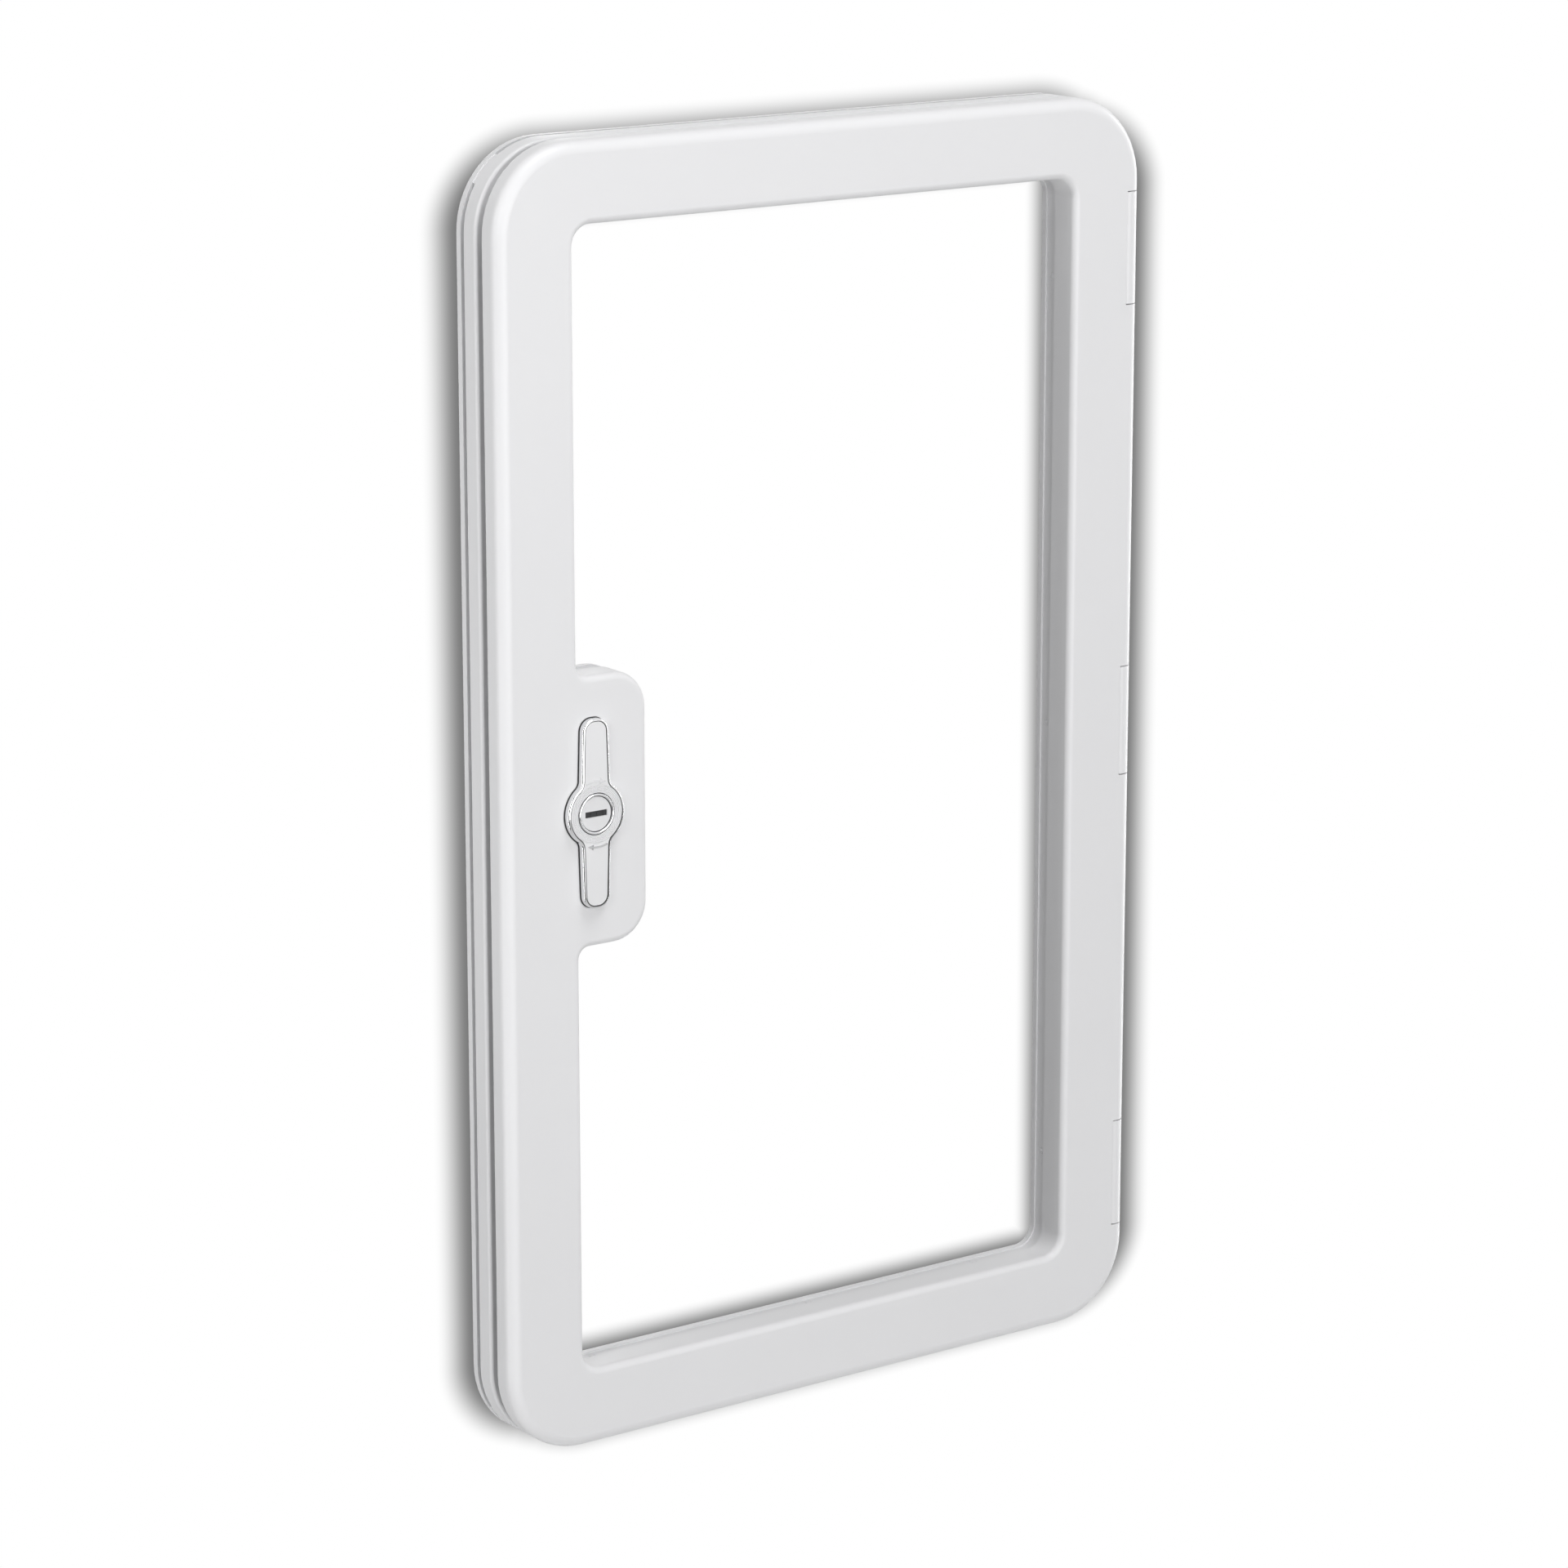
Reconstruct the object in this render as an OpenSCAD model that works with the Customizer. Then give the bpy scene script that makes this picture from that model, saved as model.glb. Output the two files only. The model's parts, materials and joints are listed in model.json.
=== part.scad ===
// Service hatch for a caravan or camper wall: a fixed frame with a hinged door frame
// around an open centre, and a twist handle with a key on a lug of the door.
// X is right, Y points into the wall, Z is up. Sizes are in millimetres.

/* [Door outline] */
// Width over the door frame
door_w = 450; // [330:1:900]
// Height over the door frame
door_h = 750; // [400:1:1200]
// Radius of the door's outer corners
corner_r = 50; // [30:1:70]
// Width of the door frame's face at the left and right
border = 50; // [44:1:70]
// Width of the door frame's face at the top and bottom
border_end = 46; // [44:1:70]
// Radius of the opening's corners
opening_r = 12; // [8:1:24]
// Radius along the front outer edge of the door
edge_r = 7; // [5:0.5:8]
// Radius along the front edge of the opening
rim_r = 4; // [3:0.5:5]

/* [Depths from the wall] */
// Front face of the door above the wall's surface
face_h = 40; // [36:0.5:50]
// Depth of the door's outer side wall
side_depth = 14.5; // [12:0.5:16]
// Depth of the front frame's return inside the opening
return_depth = 18.5; // [16:0.5:22]
// Rear edge of the door above the wall's surface
rear_h = 9; // [8:0.5:12]
// Depth of the lip at the door's rear edge
lip_depth = 3.6; // [2:0.1:6]
// Step from the front frame's return back to the rear frame's band
band_step = 1.5; // [1.2:0.1:2]
// Front face of the fixed frame above the wall's surface
frame_h = 18.7; // [16:0.1:20]

/* [Walls] */
// Wall thickness of the door's front frame
door_wall = 2.8; // [2:0.1:3.5]
// Plate thickness of the door's rear frame
rear_wall = 2.5; // [2:0.1:3]
// Wall thickness of the fixed frame
frame_wall = 3; // [2:0.1:3.5]

/* [Fixed frame] */
// Width of the fixed frame from its outer edge inwards
frame_w = 39; // [37:1:45]
// Width of the flange that lies on the wall
flange_w = 18; // [14:1:20]
// Thickness of the flange
flange_t = 4; // [3:0.5:5]
// Width of the groove between the flange and the front band
groove_w = 3.4; // [2:0.1:5]
// Depth of that groove
groove_depth = 8; // [4:0.5:10]
// Rounding of the front band's outer edge
band_r = 2; // [1:0.5:2.5]
// Radius of the screw holes
screw_hole_r = 2.25; // [1.5:0.05:3]
// Outer radius of the screw bosses
boss_r = 5; // [4:0.5:6]
// Distance of the screw holes from the frame's outer edge
screw_inset = 32; // [30:0.5:33]
// Distance of the outer side screws from the frame's top and bottom edges
screw_end = 55; // [45:1:70]
// Half height between the inner pair of side screws
screw_inner_z = 120; // [60:1:120]
// Half width between the top and bottom screws
screw_top_x = 90; // [40:1:110]
// Spacing of the stiffening ribs
rib_pitch = 75; // [40:1:120]
// Thickness of the stiffening ribs
rib_t = 2; // [1.5:0.1:3]
// Angle of the web that closes the groove at each corner
web_angle = 24; // [16:1:40]

/* [Seal] */
// Distance of the seal from the outer edge
seal_inset = 17; // [16:0.5:18]
// Width of the seal
seal_w = 8; // [6:0.5:9]
// Thickness of the seal's foot
seal_foot = 2; // [1.5:0.5:3]

/* [Screw caps] */
// Radius of a screw cap
cap_r = 2.3; // [1.8:0.1:2.6]
// Thickness of a screw cap
cap_t = 1.4; // [1.2:0.1:1.8]
// Distance of the left caps from the opening's side
cap_left = 20; // [20:1:60]
// Distance of the right caps from the opening's side
cap_right = 50; // [20:1:60]
// Distance of the side caps from the opening's ends
cap_end = 60; // [30:1:90]

/* [Hinges] */
// Length of a hinge knuckle
knuckle_l = 66; // [40:1:80]
// Distance of the top and bottom hinges from the door's ends
hinge_end = 90; // [90:1:110]
// Radius of the hinge pins
pin_r = 2; // [1.5:0.1:2.5]
// Length of pin held in the door at each end
pin_grip = 10; // [6:0.5:14]
// Gap between a knuckle and its pocket
knuckle_gap = 0.8; // [0.6:0.1:1]
// Gap at each end of a knuckle
knuckle_end_gap = 0.6; // [0.4:0.1:1]
// How far a knuckle's neck is set back, so that the opened door clears it
neck_setback = 4; // [3.5:0.5:4.5]
// Wall of the hinge block beside a knuckle's pocket
block_wall = 2.5; // [2:0.5:3]
// Solid end of the hinge block past the pin
block_end = 3; // [2:0.5:4]

/* [Lock lug] */
// How far the lug reaches into the opening
lug_reach = 46; // [40:1:60]
// Height of the lug
lug_h = 156; // [140:1:180]
// Radius of the lug's free corners
lug_r = 22; // [18:1:26]
// Radius of the fillets at the lug's root
lug_root_r = 7; // [5:0.5:9]
// Distance of the handle's axis from the door's outer edge
handle_inset = 58.5; // [58:0.5:64]

/* [Handle] */
// Length over both wings
handle_l = 109; // [90:1:124]
// Width of a wing at its tip
wing_tip_w = 16.6; // [16.4:0.1:18]
// Width of a wing beside the hub
wing_root_w = 18.8; // [18.2:0.1:21]
// Radius of a wing's corners
wing_tip_r = 7.5; // [6:0.5:7.5]
// Radius of the hub
hub_r = 18.8; // [18.6:0.1:20]
// Radius of the fillets between the hub and the wings
hub_fillet_r = 6; // [4:0.5:8]
// Thickness of the handle
handle_t = 4; // [4:0.5:7]
// Gap between the handle and the door's face
handle_gap = 0.5; // [0.5:0.1:1]
// Depth of the step round the handle's front edge
edge_step = 0.8; // [0.6:0.1:1.2]
// Distance of the face plate from the handle's edge
face_inset = 1.2; // [1.2:0.1:1.6]
// Thickness of the face plate
face_t = 0.8; // [0.6:0.1:1]
// Number of round grooves in the hub's face
ring_n = 5; // [3:1:5]
// Spacing of those grooves
ring_pitch = 1.05; // [0.9:0.05:1.1]
// Width of those grooves
ring_cut = 0.35; // [0.2:0.05:0.4]

/* [Key and latch] */
// Radius of the key cylinder's face
key_r = 10.2; // [9:0.1:10.4]
// Width of the raised ring round the key cylinder
key_ring_w = 1.4; // [1:0.1:1.6]
// How far that ring stands proud of the hub's face
key_ring_h = 0.4; // [0.2:0.1:0.8]
// Depth of the key cylinder's face below the hub's face
key_recess = 0.5; // [0.4:0.1:0.6]
// Thickness of the handle behind the key cylinder
key_floor = 0.8; // [0.6:0.1:1]
// Width of the keyhole slot
slot_w = 14; // [10:0.5:15]
// Height of the keyhole slot
slot_h = 3.4; // [3:0.1:5]
// Depth of the keyhole slot
slot_depth = 2; // [1:0.1:2.1]
// Radius of the spindle
spindle_r = 8; // [6:0.5:9]
// Radius of the lock housing
housing_r = 11; // [10.5:0.5:11.5]
// Thickness of the cover behind the lug
cover_t = 2; // [1.5:0.5:3]
// Length of the latch cam from the handle's axis
cam_l = 33; // [31:0.5:34]
// Width of the latch cam
cam_w = 14; // [10:0.5:16]
// Thickness of the latch cam
cam_t = 4; // [3:0.5:4.5]
// Width across the corners of the nut behind the cam
nut_w = 13; // [10:0.5:15]
// Thickness of that nut
nut_t = 2.5; // [2:0.1:2.5]
// Thickness of the strike plate
strike_t = 1.5; // [1:0.5:2]

/* [Hidden] */
$fn = 72;
// Running clearance round a turning piece
turn_gap = 0.15;
// Clearance between pieces that are fitted and stay put
fit_gap = 0.3;
// Overlap of a cutting shape past the face it cuts
over = 1;
// Overlap of shapes that grow together
bite = 0.5;
// How far the handle's rounds reach past the lines they blend, so that the shapes cross
blend = 0.02;
// Clearance between the latch cam and the cover in front of it
cam_clear = 0.5;
// Clearance between the latch cam and the strike plate
strike_clear = 0.9;
// Clearance between the latch cam and the ends of its notch
notch_clear = 5;
half_w = door_w / 2;
half_h = door_h / 2;
open_a = half_w - border;
open_b = half_h - border_end;
lug_half = lug_h / 2;
side_h = face_h - side_depth;
return_h = face_h - return_depth;
plate_h = side_h + rear_wall;
groove_h = flange_t + groove_w;
handle_x = -half_w + handle_inset;
hinge_x = half_w - edge_r;
hinge_h = face_h - edge_r;
origin_drop = half_h - flange_w / 2;
hinge_z = half_h - hinge_end;
hinge_zs = [hinge_z, 0, -hinge_z];
notch_r = edge_r + knuckle_gap;
pin_l = knuckle_l + 2 * (knuckle_end_gap + pin_grip);
cam_h = rear_h - cam_clear - cam_t;
strike_h = cam_h + cam_t + strike_clear;
notch_low = -cam_l - notch_clear;
notch_high = cam_w / 2 + notch_clear;
cap_h = (return_h + rear_h + lip_depth) / 2;
ring_r = key_r + turn_gap + key_ring_w;
screw_x = half_w - screw_inset;
screw_z = half_h - screw_inset;
screw_outer_z = half_h - screw_end;
screw_points = concat(
    [for (x = [-1, 1], z = [-screw_outer_z, -screw_inner_z, screw_inner_z, screw_outer_z]) [x * screw_x, z]],
    [for (x = [-1, 1], z = [-1, 1]) [x * screw_top_x, z * screw_z]]);

// Everything is drawn flat on the wall, with local Z as the height above it, and then
// stood up. The origin is on the bottom flange's wall face.
module on_wall() {
    translate([0, 0, origin_drop]) rotate([90, 0, 0]) children();
}

module round_rect(a, b, r) {
    square([2 * a, 2 * (b - r)], center = true);
    square([2 * (a - r), 2 * b], center = true);
    for (x = [-1, 1], y = [-1, 1]) translate([x * (a - r), y * (b - r)]) circle(r);
}

// A straight length of a section. The section's X runs along the direction phi.
module straight(mid, len, phi) {
    translate([mid[0], mid[1], 0]) rotate([90, 0, phi])
        linear_extrude(len, center = true) children();
}

// A turned length whose section grows away from the centre.
module turn_out(centre, r, start, sweep = 90) {
    translate([centre[0], centre[1], 0]) rotate([0, 0, start])
        rotate_extrude(angle = sweep) translate([r, 0]) children();
}

// A turned length whose section grows towards the centre.
module turn_in(centre, r, start, sweep = 90) {
    translate([centre[0], centre[1], 0]) rotate([0, 0, start])
        rotate_extrude(angle = sweep) translate([r, 0]) mirror([1, 0]) children();
}

// A section swept along the outer outline. Its X is the distance inwards from the edge.
module sweep_outline() {
    run_x = 2 * (half_w - corner_r);
    run_y = 2 * (half_h - corner_r);
    straight([half_w, 0], run_y, 180) children();
    straight([-half_w, 0], run_y, 0) children();
    straight([0, half_h], run_x, 270) children();
    straight([0, -half_h], run_x, 90) children();
    for (i = [0 : 3])
        turn_in(corner_centre(i), corner_r, 90 * i) children();
}

function corner_centre(i) =
    [((i == 0 || i == 3) ? 1 : -1) * (half_w - corner_r), (i < 2 ? 1 : -1) * (half_h - corner_r)];

// A section swept round the opening and its lug. Its X is the distance into the frame.
module sweep_opening() {
    run_x = 2 * (open_a - opening_r);
    run_y = 2 * (open_b - opening_r);
    lug_x = -open_a + lug_reach;
    straight([open_a, 0], run_y, 0) children();
    straight([0, open_b], run_x, 90) children();
    straight([0, -open_b], run_x, 270) children();
    for (i = [0 : 3])
        turn_out([((i == 0 || i == 3) ? 1 : -1) * (open_a - opening_r),
            (i < 2 ? 1 : -1) * (open_b - opening_r)], opening_r, 90 * i) children();
    side_end = lug_half + lug_root_r;
    side_run = open_b - opening_r - side_end;
    for (s = [-1, 1])
        straight([-open_a, s * (side_end + side_run / 2)], side_run, 180) children();
    turn_out([-open_a + lug_root_r, side_end], lug_root_r, 180) children();
    turn_out([-open_a + lug_root_r, -side_end], lug_root_r, 90) children();
    lug_run = lug_reach - lug_r - lug_root_r;
    for (s = [-1, 1])
        straight([-open_a + lug_root_r + lug_run / 2, s * lug_half], lug_run, -90 * s) children();
    turn_in([lug_x - lug_r, lug_half - lug_r], lug_r, 0) children();
    turn_in([lug_x - lug_r, -lug_half + lug_r], lug_r, 270) children();
    straight([lug_x, 0], lug_h - 2 * lug_r, 180) children();
}

// The opening's area with its edge moved w into the frame.
module opening_area(w) {
    difference() {
        round_rect(open_a + w, open_b + w, opening_r + w);
        translate([-open_a - border, -lug_half + lug_r])
            square([border + lug_reach - w, lug_h - 2 * lug_r]);
        translate([-open_a - border, -lug_half + w])
            square([border + lug_reach - lug_r, lug_h - 2 * w]);
        for (s = [-1, 1]) {
            translate([-open_a + lug_reach - lug_r, s * (lug_half - lug_r)]) circle(lug_r - w);
            root_fillet(s, w);
        }
    }
}

module root_fillet(s, w) {
    side_end = lug_half + lug_root_r;
    difference() {
        translate([-open_a - w, s > 0 ? lug_half - w : -side_end])
            square([lug_root_r + w, lug_root_r + w]);
        translate([-open_a + lug_root_r, s * side_end]) circle(lug_root_r + w);
    }
}

// Section of the door's front outer edge: a side wall that turns over into the face.
module outer_edge_section() {
    difference() {
        intersection() {
            translate([edge_r, hinge_h]) circle(edge_r);
            translate([0, hinge_h]) square([edge_r, edge_r]);
        }
        translate([edge_r, hinge_h]) circle(edge_r - door_wall);
    }
    translate([0, side_h]) square([door_wall, side_depth - edge_r]);
}

// Section of the front rim and return inside the opening.
module opening_edge_section() {
    rim_h = face_h - rim_r;
    difference() {
        intersection() {
            translate([rim_r, rim_h]) circle(rim_r);
            translate([0, rim_h]) square([rim_r, rim_r]);
        }
        translate([rim_r, rim_h]) circle(rim_r - door_wall);
    }
    translate([0, return_h]) square([door_wall, return_depth - rim_r]);
}

// Pocket that a knuckle turns in.
module hinge_notch(z) {
    len = knuckle_l + 2 * knuckle_end_gap;
    translate([hinge_x, z, hinge_h]) rotate([90, 0, 0]) cylinder(r = notch_r, h = len, center = true);
    translate([hinge_x - notch_r, z - len / 2, frame_h - over])
        cube([notch_r + edge_r + over, len, hinge_h - frame_h + over]);
}

module pin_hole(z, r) {
    translate([hinge_x, z, hinge_h]) rotate([90, 0, 0]) cylinder(r = r, h = pin_l + over, center = true);
}

// Solid part of the door round a pocket, which holds the pin's ends.
module hinge_block(z) {
    len = pin_l + 2 * block_end;
    block_x = hinge_x - notch_r - block_wall;
    translate([block_x, z - len / 2, plate_h])
        cube([half_w - door_wall - block_x, len, hinge_h - plate_h]);
    translate([block_x, z - len / 2, hinge_h])
        cube([hinge_x - block_x, len, face_h - door_wall - hinge_h]);
}

module door_front_frame() {
    color("whitesmoke") on_wall() difference() {
        union() {
            sweep_outline() outer_edge_section();
            sweep_opening() opening_edge_section();
            translate([0, 0, face_h - door_wall]) linear_extrude(door_wall) difference() {
                round_rect(half_w - edge_r, half_h - edge_r, corner_r - edge_r);
                opening_area(rim_r);
            }
            for (z = hinge_zs) hinge_block(z);
        }
        for (z = hinge_zs) {
            hinge_notch(z);
            pin_hole(z, pin_r + turn_gap / 3);
        }
        translate([handle_x, 0, face_h - door_wall - over])
            cylinder(r = spindle_r + turn_gap, h = door_wall + 2 * over);
    }
}

// Section of the rear frame's wall round the opening, with a lip at its rear edge.
module rear_wall_section() {
    lip_step = band_step / 3;
    seat = door_wall + fit_gap;
    outer = seat + rear_wall;
    top = return_h - fit_gap;
    lip_h = rear_h + lip_depth;
    polygon([[band_step, top], [seat, top], [seat, plate_h], [outer, plate_h],
        [outer, rear_h], [lip_step, rear_h], [lip_step, lip_h], [band_step, lip_h]]);
}

module door_rear_frame() {
    inset = door_wall + fit_gap;
    color("gainsboro") on_wall() difference() {
        union() {
            sweep_opening() rear_wall_section();
            translate([0, 0, side_h]) linear_extrude(rear_wall) difference() {
                round_rect(half_w - inset, half_h - inset, corner_r - inset);
                opening_area(inset + rear_wall / 2);
            }
            translate([-open_a - inset - rear_wall, -lug_half, rear_h])
                cube([rear_wall, lug_h, side_h - rear_h + over]);
        }
        for (z = hinge_zs) hinge_notch(z);
        cap_seats(fit_gap / 6);
        translate([handle_x, 0, side_h - over]) cylinder(r = housing_r + fit_gap, h = rear_wall + 2 * over);
    }
}

// A round cap in the band, whose outer face lies flush with the band.
module screw_cap(gap) {
    translate([0, 0, -bite / 2]) cylinder(r = cap_r + gap, h = cap_t + bite / 2);
}

module cap_seats(gap) {
    for (s = [-1, 1], x = [-open_a + cap_left, 0, open_a - cap_right])
        translate([x, s * (open_b + band_step), cap_h]) rotate([-90 * s, 0, 0]) screw_cap(gap);
    for (z = [-open_b + cap_end, 0, open_b - cap_end])
        translate([open_a + band_step, z, cap_h]) rotate([0, 90, 0]) screw_cap(gap);
}

// Small round caps over the screws that clamp the rear frame.
module screw_caps() {
    color("gainsboro") on_wall() cap_seats(0);
}

// Section of the fixed frame, open towards the wall.
module frame_section() {
    rim = groove_depth + frame_wall;
    difference() {
        union() {
            translate([0, groove_h]) square([frame_w, frame_h - groove_h - band_r]);
            translate([band_r, groove_h]) square([frame_w - band_r, frame_h - groove_h]);
            translate([band_r, frame_h - band_r]) circle(band_r);
        }
        translate([rim, groove_h - over])
            square([frame_w - rim - frame_wall, frame_h - frame_wall - groove_h + over]);
    }
    translate([groove_depth, 0]) square([frame_wall, frame_h - frame_wall]);
    square([flange_w, flange_t]);
    translate([frame_w - frame_wall, 0]) square([frame_wall, frame_h - frame_wall]);
}

module corner_web(i) {
    turn_in(corner_centre(i), corner_r, 90 * i + 45 - web_angle / 2, web_angle)
        translate([bite, flange_t - bite]) square([groove_depth, groove_w + 2 * bite]);
}

module screw_boss(p) {
    translate([p[0], p[1], 0]) cylinder(r = boss_r, h = frame_h - frame_wall / 2);
}

// Ribs across the frame's hollow back, left out where the latch needs the room.
module frame_ribs() {
    rib_l = frame_w - flange_w - frame_wall + 2 * bite;
    rib_h = frame_h - frame_wall + bite;
    rib_at = (flange_w + frame_w - frame_wall) / 2;
    n_side = floor((half_h - corner_r) / rib_pitch);
    n_top = floor((half_w - corner_r) / rib_pitch);
    for (s = [-1, 1], y = [-n_side * rib_pitch : rib_pitch : n_side * rib_pitch])
        if (s > 0 || y < notch_low - rib_t || y > notch_high + rib_t)
            translate([s * (half_w - rib_at), y, rib_h / 2]) cube([rib_l, rib_t, rib_h], center = true);
    for (s = [-1, 1], x = [-n_top * rib_pitch : rib_pitch : n_top * rib_pitch])
        translate([x, s * (half_h - rib_at), rib_h / 2]) cube([rib_t, rib_l, rib_h], center = true);
}

module outer_frame() {
    color("white") on_wall() difference() {
        union() {
            sweep_outline() frame_section();
            for (i = [0 : 3]) corner_web(i);
            for (p = screw_points) screw_boss(p);
            frame_ribs();
        }
        for (p = screw_points)
            translate([p[0], p[1], -over]) cylinder(r = screw_hole_r, h = frame_h + 2 * over);
        translate([-half_w + frame_w - frame_wall - over, notch_low, -over])
            cube([frame_wall + 2 * over, notch_high - notch_low, strike_h + over]);
    }
}

// Steel plate behind the frame's edge that the latch cam turns in behind.
module strike_plate() {
    plate_w = frame_w - flange_w - frame_wall - over;
    plate_l = notch_high - notch_low;
    color("silver") on_wall()
        translate([-half_w + frame_w - frame_wall - plate_w, notch_low, strike_h]) {
            cube([plate_w, plate_l, strike_t]);
            for (y = [0, plate_l - strike_t])
                translate([0, y, 0]) cube([plate_w, strike_t, frame_h - frame_wall - strike_h]);
        }
}

// Seal on the fixed frame: a flat foot under a round bulb that the door presses on.
module door_seal() {
    seal_h = side_h - fit_gap - frame_h;
    bulb_h = seal_h - seal_w / 2;
    color("dimgray") on_wall() sweep_outline() translate([seal_inset, frame_h]) {
        square([seal_w, max(seal_foot, bulb_h)]);
        intersection() {
            translate([seal_w / 2, bulb_h]) circle(seal_w / 2);
            square([seal_w, seal_h]);
        }
    }
}

// A knuckle that stands on the fixed frame.
module hinge_knuckle(z) {
    color("white") on_wall() difference() {
        union() {
            translate([hinge_x, z, hinge_h]) rotate([90, 0, 0])
                cylinder(r = edge_r, h = knuckle_l, center = true);
            translate([hinge_x - edge_r, z - knuckle_l / 2, frame_h])
                cube([2 * edge_r - neck_setback, knuckle_l, hinge_h - frame_h]);
        }
        pin_hole(z, pin_r + turn_gap / 2);
    }
}

module hinge_pin(z) {
    color("silver") on_wall() translate([hinge_x, z, hinge_h]) rotate([90, 0, 0])
        cylinder(r = pin_r, h = pin_l, center = true);
}

module lock_housing() {
    top = face_h - door_wall;
    bottom = rear_h + cover_t + fit_gap;
    color("dimgray") on_wall() translate([handle_x, 0, bottom]) difference() {
        cylinder(r = housing_r, h = top - bottom);
        translate([0, 0, -over]) cylinder(r = spindle_r + turn_gap, h = top - bottom + 2 * over);
    }
}

// Cover over the lug's back, seated on the rear frame's wall.
module lock_cover() {
    color("gainsboro") on_wall() translate([0, 0, rear_h]) difference() {
        linear_extrude(cover_t) cover_area(door_wall + rear_wall + 2 * fit_gap);
        translate([handle_x, 0, -over]) cylinder(r = spindle_r + turn_gap, h = cover_t + 2 * over);
    }
}

module cover_area(inset) {
    left = -open_a - door_wall;
    right = -open_a + lug_reach - inset;
    r = lug_r - inset;
    translate([left, -lug_half + inset + r]) square([right - left, lug_h - 2 * (inset + r)]);
    translate([left, -lug_half + inset]) square([right - r - left, lug_h - 2 * inset]);
    for (s = [-1, 1]) translate([right - r, s * (lug_half - inset - r)]) circle(r);
}

// Points of the handle's outline: each wing side leans in by wing_tilt towards its tip, at the
// distance wing_d from the axis.
wing_tilt = atan((wing_root_w - wing_tip_w) / 2 / (handle_l / 2 - hub_r));
wing_d = (wing_root_w / 2 + hub_r * tan(wing_tilt)) * cos(wing_tilt);
wing_start = sqrt(pow(hub_r + hub_fillet_r, 2) - pow(wing_d + hub_fillet_r, 2));
wing_end = (handle_l / 2 - wing_tip_r - (wing_d - wing_tip_r) * sin(wing_tilt)) / cos(wing_tilt);
fillet_centre = side_point(hub_fillet_r, wing_start);
tip_centre = side_point(-wing_tip_r, wing_end);

// A point beside the wing's right side: out from the line, and along it from the axis.
function side_point(out, along) = [
    (wing_d + out) * cos(wing_tilt) - along * sin(wing_tilt),
    (wing_d + out) * sin(wing_tilt) + along * cos(wing_tilt)];

module both_sides() {
    children();
    mirror([1, 0, 0]) children();
}

module both_ends() {
    children();
    rotate([0, 0, 180]) children();
}

// The handle's area with its edge moved w inwards.
module handle_area(w) {
    circle(hub_r - w);
    both_ends() both_sides() {
        difference() {
            polygon([[0, 0], fillet_centre, side_point(-w, wing_start), side_point(-w, wing_end),
                [tip_centre[0], handle_l / 2 - w], [0, handle_l / 2 - w]]);
            translate(fillet_centre) circle(hub_fillet_r + w + blend);
        }
        translate(tip_centre) circle(wing_tip_r - w + blend);
    }
}

module on_handle() {
    on_wall() translate([handle_x, 0, face_h + handle_gap]) children();
}

module handle_body() {
    color("silver") on_handle() difference() {
        union() {
            linear_extrude(handle_t - edge_step) handle_area(0);
            linear_extrude(handle_t) handle_area(edge_step / 2);
        }
        translate([0, 0, handle_t - face_t]) linear_extrude(face_t + over) handle_area(face_inset);
        translate([0, 0, key_floor]) cylinder(r = key_r + turn_gap, h = handle_t);
    }
}

module handle_face() {
    color("whitesmoke") on_handle() translate([0, 0, handle_t - face_t]) difference() {
        linear_extrude(face_t) handle_area(face_inset + turn_gap / 3);
        translate([0, 0, -over]) cylinder(r = ring_r + turn_gap / 3, h = face_t + 2 * over);
        rotate_extrude() for (i = [1 : ring_n])
            translate([ring_r + i * ring_pitch, face_t - ring_cut]) square([ring_cut, ring_cut + over]);
    }
}

// Raised ring round the key cylinder.
module key_ring() {
    color("silver") on_handle() rotate_extrude()
        translate([key_r + turn_gap, handle_t - face_t]) square([key_ring_w, face_t + key_ring_h]);
}

module handle_spindle() {
    color("silver") on_wall() translate([handle_x, 0, cam_h])
        cylinder(r = spindle_r, h = face_h + handle_gap - cam_h);
}

// Cam that points down while the door is unlocked, and turns in behind the strike plate.
module latch_cam() {
    collar = (cam_w - spindle_r) / 2 + over;
    end_r = cam_t / 2;
    color("silver") on_wall() translate([handle_x, 0, cam_h]) linear_extrude(cam_t) difference() {
        union() {
            circle(spindle_r + collar);
            translate([-cam_w / 2, -cam_l + end_r]) square([cam_w, cam_l - end_r]);
            translate([-cam_w / 2 + end_r, -cam_l]) square([cam_w - 2 * end_r, cam_l]);
            for (s = [-1, 1]) translate([s * (cam_w / 2 - end_r), -cam_l + end_r]) circle(end_r);
        }
        circle(spindle_r + turn_gap / 3);
    }
}

module cam_nut() {
    color("silver") on_wall() translate([handle_x, 0, cam_h - nut_t])
        linear_extrude(nut_t) circle(nut_w / 2, $fn = 6);
}

module key_cylinder() {
    bottom = key_floor + fit_gap;
    top = handle_t - key_recess;
    color("gray") on_handle() difference() {
        translate([0, 0, bottom]) cylinder(r = key_r, h = top - bottom);
        translate([-slot_w / 2, -slot_h / 2, top - slot_depth]) cube([slot_w, slot_h, slot_depth + over]);
    }
}

outer_frame();
door_seal();
strike_plate();
hinge_knuckle(hinge_z);  // hinge_knuckle_top
hinge_knuckle(0);  // hinge_knuckle_middle
hinge_knuckle(-hinge_z);  // hinge_knuckle_bottom
hinge_pin(hinge_z);  // hinge_pin_top
hinge_pin(0);  // hinge_pin_middle
hinge_pin(-hinge_z);  // hinge_pin_bottom
door_front_frame();
door_rear_frame();
screw_caps();
lock_housing();
lock_cover();
handle_body();
handle_face();
key_ring();
handle_spindle();
latch_cam();
cam_nut();
key_cylinder();
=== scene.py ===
"""Dresses a caravan service hatch: its finishes, twist handle, screws, caps and studio."""

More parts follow.
